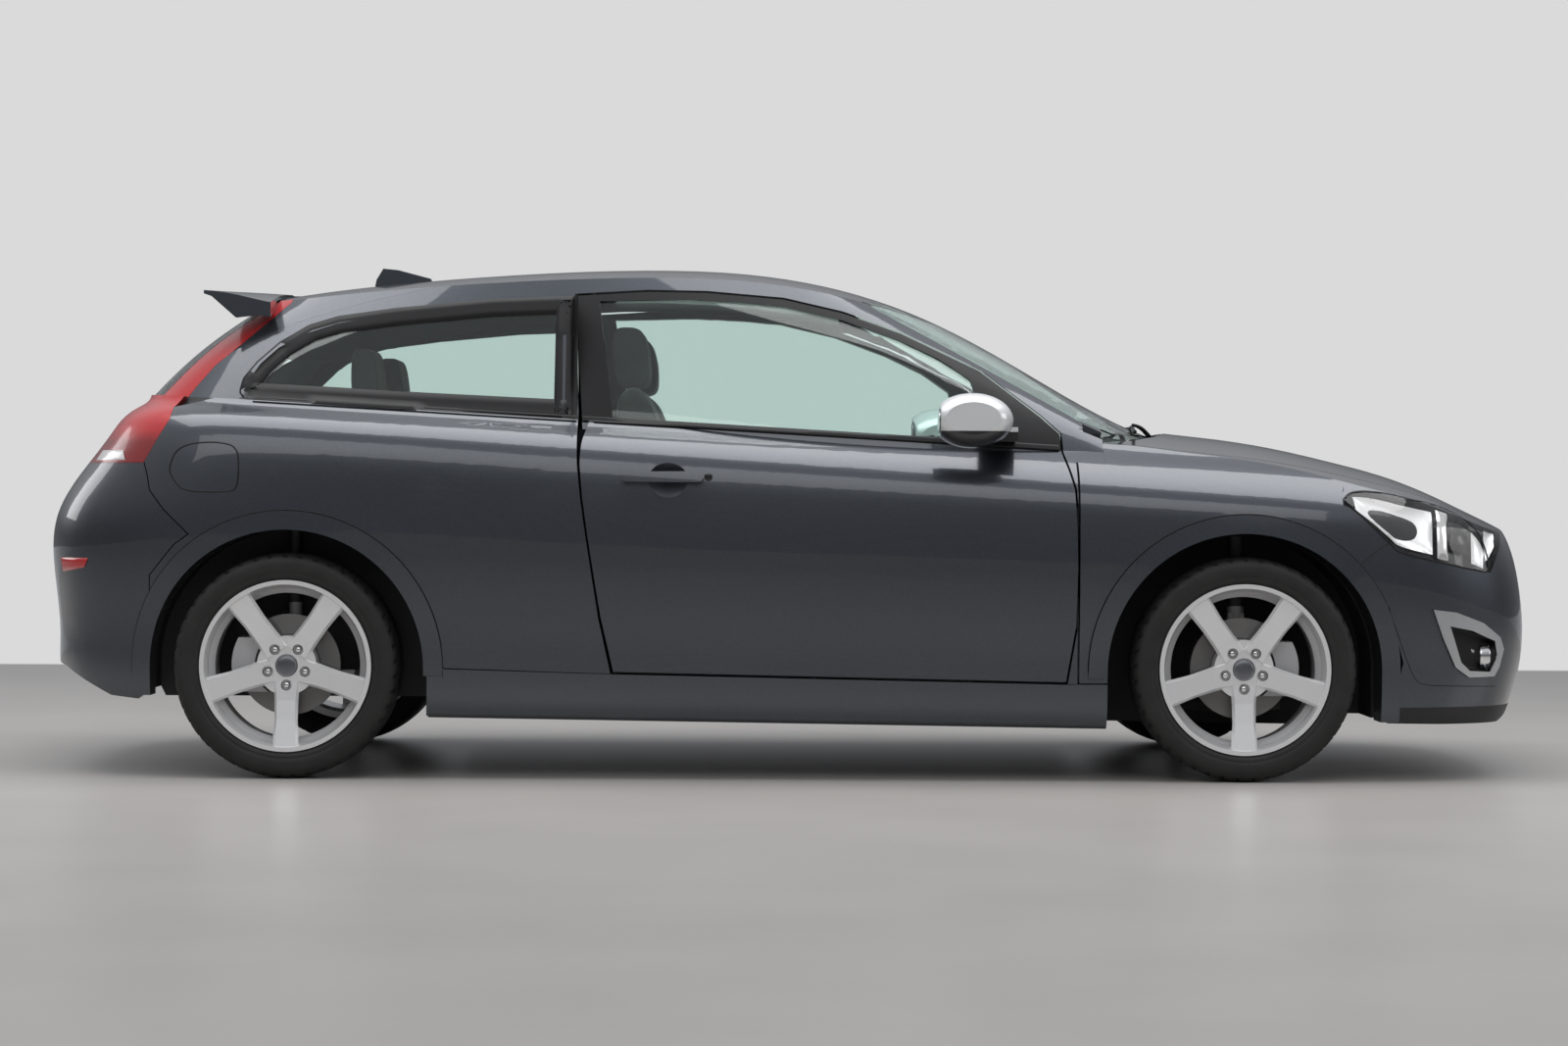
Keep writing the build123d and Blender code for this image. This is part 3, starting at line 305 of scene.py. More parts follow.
seat_cloth = woven_cloth()
finish_nodes(seat_cloth, "front_seats", "rear_seats")


# Tyres: black rubber with four grooves round the tread, slanted cuts across its shoulders and a rim guard on
# the sidewalls. They stand for the plain CAD tyres, at the same radius.
TYRE_R = (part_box("tyre_front_right")[1].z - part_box("tyre_front_right")[0].z) / 2
TYRE_SIDE = [(0.2368, 0.0925), (0.2425, 0.0985), (0.2490, 0.1010), (0.2550, 0.1012), (0.2620, 0.1036),
             (0.2760, 0.1045), (0.2880, 0.1030), (0.2975, 0.0975), (0.3045, 0.0885), (0.3078, 0.0770)]
TREAD_HALF = 0.0755
TREAD_CROWN = 0.0016
TREAD_FROM_R = 0.2985
GROOVES = (-0.052, -0.018, 0.018, 0.052)
GROOVE_HALF = 0.0042
GROOVE_DEPTH = 0.0065
SHOULDER_CUTS_FROM = 0.055
SIPES_UNDER = 0.047
BLOCKS = 45
ROUND_STEPS = 405
PLACES = (("front_right", -1), ("front_left", 1), ("rear_right", -1), ("rear_left", 1))


def smooth_path(points, count, closed=False):
    """Evenly stepped points on the curve that passes through all of these, by Catmull and Rom's cubic."""
    points = np.asarray(points, float)
    spans = len(points) if closed else len(points) - 1
    t = np.linspace(0, spans, count, endpoint=not closed)
    i = np.minimum(t.astype(int), spans - 1)
    f = (t - i)[:, None]
    p0, p1, p2, p3 = (points[(i + k) % len(points) if closed else np.clip(i + k, 0, len(points) - 1)]
                      for k in (-1, 0, 1, 2))
    return 0.5 * (2 * p1 + (p2 - p0) * f + (2 * p0 - 5 * p1 + 4 * p2 - p3) * f**2
                  + (3 * p1 - p0 - 3 * p2 + p3) * f**3)


def grid_faces(rows, columns, close_rows=False, close_columns=False, flip=False):
    """The quads of a grid of points that runs row by row, joined round where it closes."""
    r = np.arange(rows if close_rows else rows - 1)[:, None]
    c = np.arange(columns if close_columns else columns - 1)[None, :]
    r1, c1 = (r + 1) % rows, (c + 1) % columns
    corners = [r * columns + c, r * columns + c1, r1 * columns + c1, r1 * columns + c]
    quads = np.stack(corners, -1).reshape(-1, 4)
    return quads[:, ::-1] if flip else quads


def grid_object(name, points, material, body, slot, **how):
    """A smooth piece from an array of rows of points, riding on a body and finished with a material; slot is
    not used.
    """
    rows, columns = points.shape[:2]
    piece = mesh_object(name, points.reshape(-1, 3).tolist(), grid_faces(rows, columns, **how).tolist())
    piece.data.polygons.foreach_set("use_smooth", np.ones(len(piece.data.polygons), bool))
    piece.data.materials.append(material)
    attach(piece, body)
    return piece


def turned_points(section, centre, outward, steps):
    """A section in radius and outward distance, turned about a wheel's axle; outward is -1 on the right."""
    section = np.asarray(section, float)
    angle = np.linspace(0, tau, steps, endpoint=False)[:, None]
    x = centre[0] + section[None, :, 0] * np.cos(angle)
    z = centre[2] + section[None, :, 0] * np.sin(angle)
    y = centre[1] + outward * section[None, :, 1] + 0 * angle
    return np.stack([x, y, z], -1)


def tyre_points(centre, outward):
    """Radius is the smooth section less the grooves: round ones at fixed widths, and cuts that lean with the
    angle and fade out between the outer grooves."""
    side = smooth_path(TYRE_SIDE, 30)
    across = np.linspace(-TREAD_HALF, TREAD_HALF, 63)[1:-1]
    crown = np.stack([TYRE_R - TREAD_CROWN * (across / TREAD_HALF) ** 2, across], -1)
    section = np.concatenate([crown, side[::-1], side * (1, -1)])
    angle = np.linspace(0, tau, ROUND_STEPS, endpoint=False)[:, None]
    y = section[None, :, 1]
    radius = section[None, :, 0] + 0 * angle
    blocks = angle * BLOCKS / tau
    round_cut = np.max([np.clip(1.6 - np.abs(y - g) / GROOVE_HALF, 0, 1) for g in GROOVES], axis=0)
    cross_cut = (((blocks + np.abs(y) * 9) % 1 < 0.2) * (section[None, :, 0] > 0.2990)
                 * np.clip((np.abs(y) - SHOULDER_CUTS_FROM) / 0.004, 0, 1))
    sipe = ((blocks + np.abs(y) * 14 + 0.5) % 1 < 0.1) * (np.abs(y) < SIPES_UNDER) * 0.5
    on_tread = section[None, :, 0] > TREAD_FROM_R
    radius -= GROOVE_DEPTH * on_tread * np.maximum(np.maximum(round_cut, cross_cut * 0.8), sipe)
    return np.stack([centre[0] + radius * np.cos(angle), centre[1] + outward * (y + 0 * angle),
                     centre[2] + radius * np.sin(angle)], -1)


def tyre_rubber():
    """Black rubber with browner, dusty patches."""
    made, tree, shader = new_material("tyre_rubber")
    where = object_place(tree)
    tone = two_tones(tree, noise(tree, where, 22.0, 6.0), (0.006, 0.006, 0.006, 1), (0.021, 0.020, 0.019, 1))
    bump(tree, shader, noise(tree, where, 700.0, 2.0), 0.35, 0.0003)
    fill_in(shader, Base_Color=tone, Roughness=0.62, Specular_IOR_Level=0.35)
    return made


rubber = tyre_rubber()
wheel_centres = {}
for place, outward in PLACES:
    low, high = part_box("tyre_" + place)
    wheel_centres[place] = np.array((low + high) / 2)
    tyre = grid_object("tread_and_sidewalls_" + place, tyre_points(wheel_centres[place], outward), rubber,
                       "wheel_" + place, "tyre", close_rows=True, close_columns=True, flip=outward < 0)
    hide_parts("tyre_" + place)


# Wheels: cast in one piece with five spokes and lacquered silver. The same node holds the brake disc, whose
# ring is bare steel, so the finish changes with depth and radius about each axle.
WHEEL_X = (wheel_centres["front_right"][0], wheel_centres["rear_right"][0])
DISC_OUTER_Y = 0.764
DISC_R = 0.1415
HAT_R = 0.085
DISC_RINGS = 4200


def wheel_radius(tree):
    """The distance from the nearer axle's line, as a socket, and the distance from the centre plane."""
    axes = object_axes(tree)
    off = [maths(tree, "ABSOLUTE", maths(tree, "SUBTRACT", axes["X"], x)) for x in WHEEL_X]
    joined = add_node(tree, "CombineXYZ", X=maths(tree, "MINIMUM", *off),
                      Y=maths(tree, "SUBTRACT", axes["Z"], TYRE_R))
    length = add_node(tree, "VectorMath", operation="LENGTH", _0=joined.outputs["Vector"])
    return length.outputs["Value"], maths(tree, "ABSOLUTE", axes["Y"])


def alloy_and_disc():
    """Silver lacquer outside, and on the disc turned steel with fine rings and a darker, browner hat."""
    made, tree, shader = new_material("alloy_and_disc")
    where = object_place(tree)
    radius, wide = wheel_radius(tree)
    disc = maths(tree, "MULTIPLY", maths(tree, "LESS_THAN", wide, DISC_OUTER_Y),
                 maths(tree, "LESS_THAN", radius, DISC_R))
    hat = maths(tree, "MULTIPLY", disc, maths(tree, "LESS_THAN", radius, HAT_R))
    silver = flakes(tree, where, 2200.0, (0.64, 0.64, 0.645, 1), (0.80, 0.80, 0.805, 1))
    steel = mixed(tree, disc, silver, (0.165, 0.160, 0.155, 1))
    brown = mixed(tree, hat, steel, (0.085, 0.076, 0.068, 1))
    rings = maths(tree, "SINE", maths(tree, "MULTIPLY", radius, DISC_RINGS))
    bump(tree, shader, maths(tree, "MULTIPLY", rings, disc), 0.2, 0.0003)
    fill_in(shader, Base_Color=brown, Metallic=0.45, Roughness=0.32, Coat_Weight=0.4)
    return made


finish_nodes(alloy_and_disc(), *("wheel_" + place for place, outward in PLACES))


# Knuckles and the rear axle: dark cast iron. Each carries its caliper, in bright cast aluminium, over the
# edge of the disc.
CALIPER_R = (0.094, 0.170)
CALIPER_INSIDE_Y = 0.90


def carrier_and_caliper():
    """Dark iron, turned to bright metal between two radii about the axle."""
    made, tree, shader = new_material("carrier_and_caliper")
    radius, wide = wheel_radius(tree)
    ring = maths(tree, "MULTIPLY", maths(tree, "LESS_THAN", radius, CALIPER_R[1]),
                 maths(tree, "LESS_THAN", wide, CALIPER_INSIDE_Y))
    past_inner = maths(tree, "SUBTRACT", 1, maths(tree, "LESS_THAN", radius, CALIPER_R[0]))
    bright = maths(tree, "MULTIPLY", ring, past_inner)
    bump(tree, shader, noise(tree, object_place(tree), 150.0, 5.0), 0.4, 0.0006)
    fill_in(shader, Base_Color=mixed(tree, bright, (0.045, 0.044, 0.043, 1), (0.46, 0.46, 0.47, 1)),
            Metallic=0.5, Roughness=0.5)
    return made


finish_nodes(carrier_and_caliper(), "knuckle_front_right", "knuckle_front_left", "rear_axle")


# Wheel fittings: a domed cap without any mark in a dark ring, and five hexagon bolts in their holes.
CAP_SECTION = [(0.0, 0.0690), (0.012, 0.0688), (0.022, 0.0680), (0.0255, 0.0668), (0.0262, 0.0655),
               (0.0270, 0.0672), (0.0292, 0.0676), (0.0300, 0.0662), (0.0302, 0.0630)]
BOLTS = 5
BOLT_CIRCLE = 0.054
BOLT_SECTION = [(0.0, 0.0645), (0.0052, 0.0643), (0.0074, 0.0634), (0.0085, 0.0618), (0.0086, 0.0520)]
HOLE_RING = [(0.0147, 0.0512), (0.0147, 0.0640)]
chrome = metal("chrome", (0.72, 0.72, 0.73), 0.14, scale=30.0, spread=0.03)
cap_grey = metal("cap_grey", (0.16, 0.165, 0.18), 0.3, scale=30.0, spread=0.05)


def round_cap(name, section, centre, outward, material, body, steps=48):
    """A small turned piece about a line parallel to the axle, closed at its pole."""
    points = turned_points(section, centre, outward, steps)
    return grid_object(name, points, material, body, "alloy", close_rows=True, flip=outward > 0)


for place, outward in PLACES:
    centre = wheel_centres[place]
    body = "wheel_" + place
    round_cap("centre_cap_" + place, CAP_SECTION, centre, outward, cap_grey, body)
    for i in range(BOLTS):
        turn = -pi / 2 + i * tau / BOLTS
        at = centre + BOLT_CIRCLE * np.array([cos(turn), 0, sin(turn)])
        round_cap(f"bolt_{i}_{place}", BOLT_SECTION, at, outward, chrome, body, steps=6)
        round_cap(f"bolt_seat_{i}_{place}", HOLE_RING, at, outward, gloss_black, body, steps=24)


# Seals and mouldings: strips of black rubber and plastic that follow the body's skin, drawn as the lines they
# have in the side view and laid on whatever panel or pane they cross. Each is made for both sides.
HANDS = (("right", -1), ("left", 1))
OFF_CENTRE = 0.15
SKIN_BATCH = 400
NOWHERE = -9


def cad_triangles(name):
    """The corners of every triangle of a CAD node."""
    mesh = cad[name].data
    points = np.empty(len(mesh.vertices) * 3)
    mesh.vertices.foreach_get("co", points)
    mesh.calc_loop_triangles()
    corners = np.empty(len(mesh.loop_triangles) * 3, int)
    mesh.loop_triangles.foreach_get("vertices", corners)
    return points.reshape(-1, 3)[corners.reshape(-1, 3)]


def surface_of(names, hand, side):
    """The triangles of these CAD nodes on one side, with y measured outwards. SIDE in a name stands for the
    side's own word."""
    triangles = np.concatenate([cad_triangles(n.replace("SIDE", hand)) * (1, side, 1) for n in names])
    return triangles[triangles[:, :, 1].mean(1) > OFF_CENTRE]


def skin(triangles, x, z):
    """The outermost y over each place in the side view, by weighing the corners of every triangle it is in;
    places off the surface take the nearest value along the line."""
    low, high = triangles.min(1), triangles.max(1)
    near = ((low[:, 0] < x.max() + 0.01) & (high[:, 0] > x.min() - 0.01)
            & (low[:, 2] < z.max() + 0.01) & (high[:, 2] > z.min() - 0.01))
    a, b, c = (triangles[near][:, i] for i in range(3))
    area = (b[:, 0] - a[:, 0]) * (c[:, 2] - a[:, 2]) - (c[:, 0] - a[:, 0]) * (b[:, 2] - a[:, 2])
    keep = np.abs(area) > 1e-10
    a, b, c, area = a[keep], b[keep], c[keep], area[keep]
    flat_x, flat_z = x.ravel(), z.ravel()
    best = np.full(flat_x.size, np.nan)
    for start in range(0, flat_x.size, SKIN_BATCH):
        batch = slice(start, start + SKIN_BATCH)
        px, pz = flat_x[batch, None], flat_z[batch, None]
        v = ((px - a[:, 0]) * (c[:, 2] - a[:, 2]) - (c[:, 0] - a[:, 0]) * (pz - a[:, 2])) / area
        w = ((b[:, 0] - a[:, 0]) * (pz - a[:, 2]) - (px - a[:, 0]) * (b[:, 2] - a[:, 2])) / area
        inside = (v > -1e-4) & (w > -1e-4) & (v + w < 1.0001)
        y = np.where(inside, a[:, 1] + v * (b[:, 1] - a[:, 1]) + w * (c[:, 1] - a[:, 1]), NOWHERE)
        best[batch] = y.max(1)
    best[best < 0] = np.nan
    rows = best.reshape(x.shape)
    rows = rows if rows.ndim == 2 else rows[None]
    for row in rows:
        known = ~np.isnan(row)
        if known.any() and not known.all():
            row[~known] = np.interp(np.flatnonzero(~known), np.flatnonzero(known), row[known])
    return rows.reshape(x.shape)


def even_path(points, step, closed=False):
    """The same broken line with its points an even step apart."""
    points = np.asarray(points + points[:1] if closed else points, float)
    run = np.concatenate([[0], np.cumsum(np.hypot(*np.diff(points, axis=0).T))])
    at = np.linspace(0, run[-1], max(4, int(run[-1] / step)) + 1)
    line = np.stack([np.interp(at, run, points[:, 0]), np.interp(at, run, points[:, 1])], -1)
    return line[:-1] if closed else line


def across_lines(first, second, shares):
    """Rows of points between two lines of equal length, at these shares of the way from one to the other."""
    shares = np.asarray(shares)[:, None, None]
    return first[None] * (1 - shares) + second[None] * shares


def laid(name, surfaces, first, second, lift, shares=(0, 0.0001, 0.5, 0.9999, 1), closed=False, sink=0.0015,
         material=None, body="body", slot="black_plastic"):
    """A strip between two lines of the side view, raised off the skin by lift, with its edges turned down
    into it. One is made on each side, and SIDE in the body's name stands for the side's own word."""
    pieces = []
    plan = across_lines(first, second, shares)
    raised = np.full(len(shares), lift)
    raised[[0, -1]] = -sink
    for hand, side in HANDS:
        y = skin(surface_of(surfaces, hand, side), plan[..., 0], plan[..., 1])
        points = np.stack([plan[..., 0], side * (y + raised[:, None]), plan[..., 1]], -1)
        along, across = points[1, 1] - points[1, 0], points[-2, 0] - points[1, 0]
        turned_in = np.cross(along, across)[1] * side >= 0
        pieces.append(grid_object(f"{name}_{hand}", points, material or seal_rubber,
                                  body.replace("SIDE", hand), slot, close_columns=closed, flip=turned_in))
    return pieces


def offset_line(line, amount, closed=False):
    """The line moved sideways by the amount, square to its own direction."""
    step = np.roll(line, -1, 0) - np.roll(line, 1, 0) if closed else np.gradient(line, axis=0)
    length = np.hypot(step[:, 0], step[:, 1])[:, None]
    return line + amount * np.stack([-step[:, 1], step[:, 0]], -1) / np.maximum(length, 1e-9)


QUARTER_SEAL = [(-0.613, 1.345), (-0.846, 1.336), (-1.120, 1.310), (-1.284, 1.287), (-1.366, 1.262),
                (-1.448, 1.212), (-1.508, 1.157), (-1.546, 1.108), (-1.554, 1.067), (-1.535, 1.045),
                (-1.10, 1.019), (-0.613, 0.996)]
QUARTER_SEAL_WIDTH = 0.052
seal_rubber = rubber_grain("seal_rubber", BLACK, 0.42)
outer = even_path(QUARTER_SEAL, 0.012, closed=True)
laid("quarter_glass_surround", ["body_side_SIDE", "quarter_glass"], outer,
     offset_line(outer, QUARTER_SEAL_WIDTH, closed=True), 0.0018, shares=(0, 0.02, 0.3, 0.6, 0.97, 1),
     closed=True)

# The black pillar strip behind the door, from the belt to the roof edge.
PILLAR_REAR = [(-0.616, 0.995), (-0.616, 1.344)]
PILLAR_FRONT = [(-0.5985, 0.992), (-0.5985, 1.346)]
laid("pillar_strip", ["body_side_SIDE"], even_path(PILLAR_REAR, 0.02), even_path(PILLAR_FRONT, 0.02), 0.0012)

# The belt moulding: a rounded black strip along the foot of the side glass, in a door part and a body part.
BELT_STRIP_HIGH = 0.017
BELT_STRIP_UNDER = 0.004
BELT_STRIP_OUT = 0.005
for name, x_rear, x_front, surfaces, body in (
        ("belt_moulding_door", -0.583, 0.742, ["door_SIDE", "door_glass_SIDE"], "door_SIDE"),
        ("belt_moulding_quarter", -1.50, -0.598, ["body_side_SIDE", "quarter_glass"], "body")):
    x = np.linspace(x_rear, x_front, 80)
    low = np.stack([x, BELT_Z - BELT_SLOPE * x - BELT_STRIP_UNDER], -1)
    laid(name, surfaces, low, low + (0, BELT_STRIP_HIGH), BELT_STRIP_OUT, body=body,
         shares=(0, 0.08, 0.3, 0.5, 0.7, 0.92, 1))

# The fuel flap, on the right only: painted shade for its seam, a fine black strip laid on the rear quarter.
FLAP = [(-1.718, 0.851), (-1.709, 0.884), (-1.694, 0.905), (-1.668, 0.918), (-1.640, 0.924), (-1.590, 0.926),
        (-1.546, 0.919), (-1.528, 0.905), (-1.521, 0.887), (-1.519, 0.850), (-1.521, 0.819), (-1.526, 0.800),
        (-1.537, 0.790), (-1.580, 0.786), (-1.639, 0.787), (-1.675, 0.793), (-1.693, 0.805), (-1.710, 0.828)]
FLAP_SEAM = 0.0042
flap = smooth_path(FLAP, 120, closed=True)
on_right, on_left = laid("fuel_flap_seam_shade", ["body_side_SIDE", "rear_bumper"], flap,
                         offset_line(flap, -FLAP_SEAM, closed=True), 0.0006, closed=True, sink=0.0008)
bpy.data.objects.remove(on_left)


# Painted shade for the fine grooves where fixed panels meet: black strips laid on the skin round the lips of
# the wheel arches, from the front arch along the foot of the bumper, and from the headlamp's corner to the
# arch.
ARCH_CENTRE_Z = 0.305
ARCH_SEAM_R = 0.432
GROOVE_WIDTH = 0.0034
SEAM_NODES = ["fender_SIDE", "arch_flares", "front_bumper", "body_side_SIDE", "rear_bumper", "side_skirts"]
FOOT_LINE = [(1.6345, 0.5020), (1.665, 0.425), (1.695, 0.345), (1.722, 0.288), (1.755, 0.268), (1.840, 0.263),
             (1.968, 0.259)]
LAMP_CORNER_LINE = [(1.648, 0.661), (1.622, 0.650), (1.592, 0.628), (1.566, 0.606)]


def arch_line(x, first, last):
    """Part of the circle of the arch's lip, from one angle to the other in degrees."""
    angle = np.radians(np.linspace(first, last, 90))
    return np.stack([x + ARCH_SEAM_R * np.cos(angle), ARCH_CENTRE_Z + ARCH_SEAM_R * np.sin(angle)], -1)


for name, line in (("front_arch_seam_shade", arch_line(WHEEL_X[0], 183, 27.4)),
                   ("bumper_foot_seam_shade", smooth_path(FOOT_LINE, 70)),
                   ("lamp_corner_seam_shade", smooth_path(LAMP_CORNER_LINE, 24)),
                   ("rear_arch_seam_shade", arch_line(WHEEL_X[1], 183, -3))):
    laid(name, SEAM_NODES, line, offset_line(line, GROOVE_WIDTH), 0.0007, shares=(0, 0.2, 0.8, 1), sink=0.001)


# The front bumper: painted like the body, with a lip of unpainted black along its foot.
LIP_TOP = 0.206


def bumper_paint():
    """The body's paint, turned to grained black under the lip's upper edge."""
    made = metallic_paint("bumper_paint")
    under = maths(made.node_tree, "LESS_THAN", object_axes(made.node_tree)["Z"], LIP_TOP)
    return part_black(made, under, Metallic=(0.75, 0.0), Roughness=(0.33, 0.5), Coat_Weight=(1.0, 0.0))


finish_nodes(bumper_paint(), "front_bumper")


# Headlamps: a clear cover over a bright reflector, a projector behind a dark ring, a chrome strip and the
# indicator at the front. The cover is the CAD lamp itself, finished clear; what is inside is laid under it.
LAMP_LOW = [(1.5235, 0.7780), (1.5800, 0.7285), (1.6490, 0.6640), (1.6900, 0.6350), (1.8410, 0.6005),
            (1.9470, 0.5800)]
LAMP_HIGH = [(1.5235, 0.7795), (1.5530, 0.7985), (1.6210, 0.7985), (1.7310, 0.7775), (1.8130, 0.7585),
             (1.8680, 0.7300), (1.9090, 0.6900), (1.9280, 0.6500), (1.9470, 0.5830)]
NOSE_LOW = [(1.885, 0.600), (1.940, 0.598), (1.962, 0.625), (1.982, 0.660)]
NOSE_HIGH = [(1.885, 0.735), (1.920, 0.720), (1.955, 0.705), (1.982, 0.690)]
LAMP_SURFACES = ["headlamps", "fender_SIDE", "front_bumper", "bonnet"]
GASKET_WIDTH = 0.005
finish_nodes(clear_solid("headlamp_cover", (1, 1, 1, 1), 6.0, 0.03, 0.001, IOR=1.12, Coat_Weight=0.7,
                         Coat_Roughness=0.02), "headlamps")
whole_lamp = smooth_path(LAMP_LOW, 60), smooth_path(LAMP_HIGH, 60)
nose = smooth_path(NOSE_LOW, 30), smooth_path(NOSE_HIGH, 30)


def lamp_patch(name, material, outline, x_rear, x_front, bottom, top, depth, bulge=0.0, columns=26, rows=14):
    """Part of the lamp between two stations and two shares of its height, set in under the cover by depth and
    hollowed like a bowl by the bulge."""
    x = np.linspace(x_rear, x_front, columns)
    low, high = (np.interp(x, line[:, 0], line[:, 1]) for line in outline)
    share = np.linspace(bottom, top, rows)[:, None]
    plan_z = low + (high - low) * share
    plan_x = x + 0 * share
    u = np.linspace(-1, 1, columns)[None]
    v = np.linspace(-1, 1, rows)[:, None]
    bowl = bulge * np.sqrt(np.clip((1 - u**2) * (1 - v**2), 0, 1))
    for hand, side in HANDS:
        y = skin(surface_of(LAMP_SURFACES, hand, side), plan_x, plan_z)
        slope_x = np.gradient(y, axis=1) / np.gradient(plan_x, axis=1)
        slope_z = np.gradient(y, axis=0) / np.gradient(plan_z, axis=0)
        out = np.stack([-slope_x, 1 + 0 * y, -slope_z], -1)
        out /= np.linalg.norm(out, axis=-1, keepdims=True)
        points = np.stack([plan_x, y, plan_z], -1) - out * (depth + bowl)[..., None]
        grid_object(f"{name}_{hand}", points * (1, side, 1), material, "body", "lamp_glass", flip=side > 0)


reflector = metal("lamp_reflector", (0.90, 0.91, 0.92), 0.30, metallic=0.55, scale=16.0, spread=0.04)
lamp_dark = rubber_grain("lamp_bezel", (0.03, 0.031, 0.034, 1), 0.3, coat=0.4)
lamp_patch("lamp_bezel", lamp_dark, whole_lamp, 1.534, 1.940, 0.04, 0.97, 0.034, columns=60)
lamp_patch("lamp_reflector", reflector, whole_lamp, 1.552, 1.776, 0.10, 0.90, 0.012, bulge=0.030)
lamp_patch("lamp_strip", chrome, whole_lamp, 1.790, 1.822, 0.05, 0.95, 0.010, bulge=-0.004, columns=8)
lamp_patch("lamp_projector", gloss_black, whole_lamp, 1.832, 1.884, 0.28, 0.74, 0.016, bulge=-0.010,
           columns=16)
lamp_patch("indicator_reflector", reflector, whole_lamp, 1.893, 1.930, 0.12, 0.88, 0.010, bulge=0.008,
           columns=12)
lamp_patch("nose_bezel", lamp_dark, nose, 1.890, 1.981, 0.0, 1.0, 0.030, columns=40)
lamp_patch("main_beam_reflector", reflector, nose, 1.938, 1.974, 0.12, 0.88, 0.012, bulge=0.014)

# The black gasket round each headlamp.
lamp_edge = np.concatenate([whole_lamp[0][:-2], whole_lamp[1][::-1][2:]])
laid("headlamp_gasket", LAMP_SURFACES, lamp_edge, offset_line(lamp_edge, -GASKET_WIDTH, closed=True), 0.0012,
     closed=True, sink=0.001)


# Tail lamps: red lenses with a lighter band over a darker block, fine ribs inside, and a clear reversing lamp
# at the lower rear corner.
LENS_BEND = (0.925, 0.960)
LENS_RIBS = 900


def red_lens():
    """Red plastic, brighter over the bend than under it, with level ribs showing through the block."""
    made, tree, shader = new_material("red_lens")
    z = object_axes(tree)["Z"]
    upper = ranged(tree, z, From_Min=LENS_BEND[0], From_Max=LENS_BEND[1])
    bump(tree, shader, maths(tree, "SINE", maths(tree, "MULTIPLY", z, LENS_RIBS)), 0.08, 0.0006)
    fill_in(shader, Base_Color=mixed(tree, upper, (0.20, 0.003, 0.004, 1), (0.42, 0.008, 0.010, 1)),
            Roughness=0.24, Coat_Weight=0.5, Coat_Roughness=0.02, Subsurface_Weight=0.25,
            Subsurface_Radius=(0.04, 0.004, 0.004))
    return made


def level_line(x_rear, x_front, z, count):
    """A level line in the side view."""
    return np.stack([np.linspace(x_rear, x_front, count), np.full(count, z)], -1)


finish_nodes(red_lens(), "tail_lamps")
clear_lens = rubber_grain("clear_lens", (0.62, 0.60, 0.60, 1), 0.12, coat=1.0, depth=0.00005)
laid("reversing_lens", ["tail_lamps", "body_side_SIDE", "rear_bumper"], level_line(-1.955, -1.850, 0.8725, 30),
     level_line(-1.935, -1.862, 0.905, 30), 0.0016, material=clear_lens, slot="lamp_glass",
     shares=np.linspace(0, 1, 8))

# Reflectors in the rear bumper's corners.
reflector_low = even_path([(-2.043, 0.561), (-1.967, 0.575)], 0.006)
reflector_high = level_line(-2.052, -1.955, 0.6025, len(reflector_low))
red_plain = rubber_grain("red_reflector", (0.42, 0.010, 0.012, 1), 0.18, coat=1.0, depth=0.0001)
laid("rear_reflector", ["rear_bumper"], reflector_low, reflector_high, 0.002, material=red_plain,
     slot="red_lamp", shares=(0, 0.05, 0.35, 0.65, 0.95, 1))


# Fog lamps: a silver surround, a dark panel in it and a round lamp with a chromed face.
FOG_OPENING = [(1.823, 0.431), (1.858, 0.430), (1.890, 0.418), (1.930, 0.404), (1.961, 0.386), (1.970, 0.345),
               (1.962, 0.318), (1.946, 0.303), (1.915, 0.302), (1.885, 0.307), (1.868, 0.318), (1.856, 0.335),
               (1.838, 0.380)]
FOG_CENTRE = (1.922, 0.690, 0.345)
FOG_SECTION = [(0.0, 0.036), (0.020, 0.034), (0.033, 0.028), (0.036, 0.026), (0.041, 0.030), (0.044, 0.026),
               (0.044, 0.0)]
finish_nodes(metal("fog_surround", (0.42, 0.43, 0.44), 0.34, metallic=0.7, scale=80.0, spread=0.05),
             "fog_lamps")
opening = smooth_path(FOG_OPENING, 90, closed=True)
middle = opening.mean(0)
laid("fog_panel", ["fog_lamps"], opening, middle + (opening - middle) * 0.02, 0.0015, closed=True,
     material=rubber_grain("fog_mesh", (0.006, 0.006, 0.007, 1), 0.5), shares=np.linspace(0, 1, 10))
angle = np.linspace(0, tau, 40, endpoint=False)[None]
radius, forward = np.array(FOG_SECTION).T[:, :, None]
for hand, side in HANDS:
    points = np.stack([FOG_CENTRE[0] + forward + 0 * angle, side * FOG_CENTRE[1] + radius * np.cos(angle),
                       FOG_CENTRE[2] + radius * np.sin(angle)], -1)
    grid_object("fog_lens_" + hand, points, chrome, "body", "lamp_glass", close_columns=True, flip=True)


# Seats: foam cushions under dark woven cloth. Each cushion is a closed crowned form: a smooth side section
# carried across the seat, drawn in at both ends, with two sewn channels and a raised bolster at each side.
SEAT_Y = 0.370
REAR_SEAT_Y = 0.360
END_SIZE = 0.55
DRAWN_IN = 0.20
BOLSTER_AT = 0.72
BOLSTER_WIDTH = 0.12
CHANNEL_DEPTH = 0.006
CHANNEL_WIDTH = 0.025


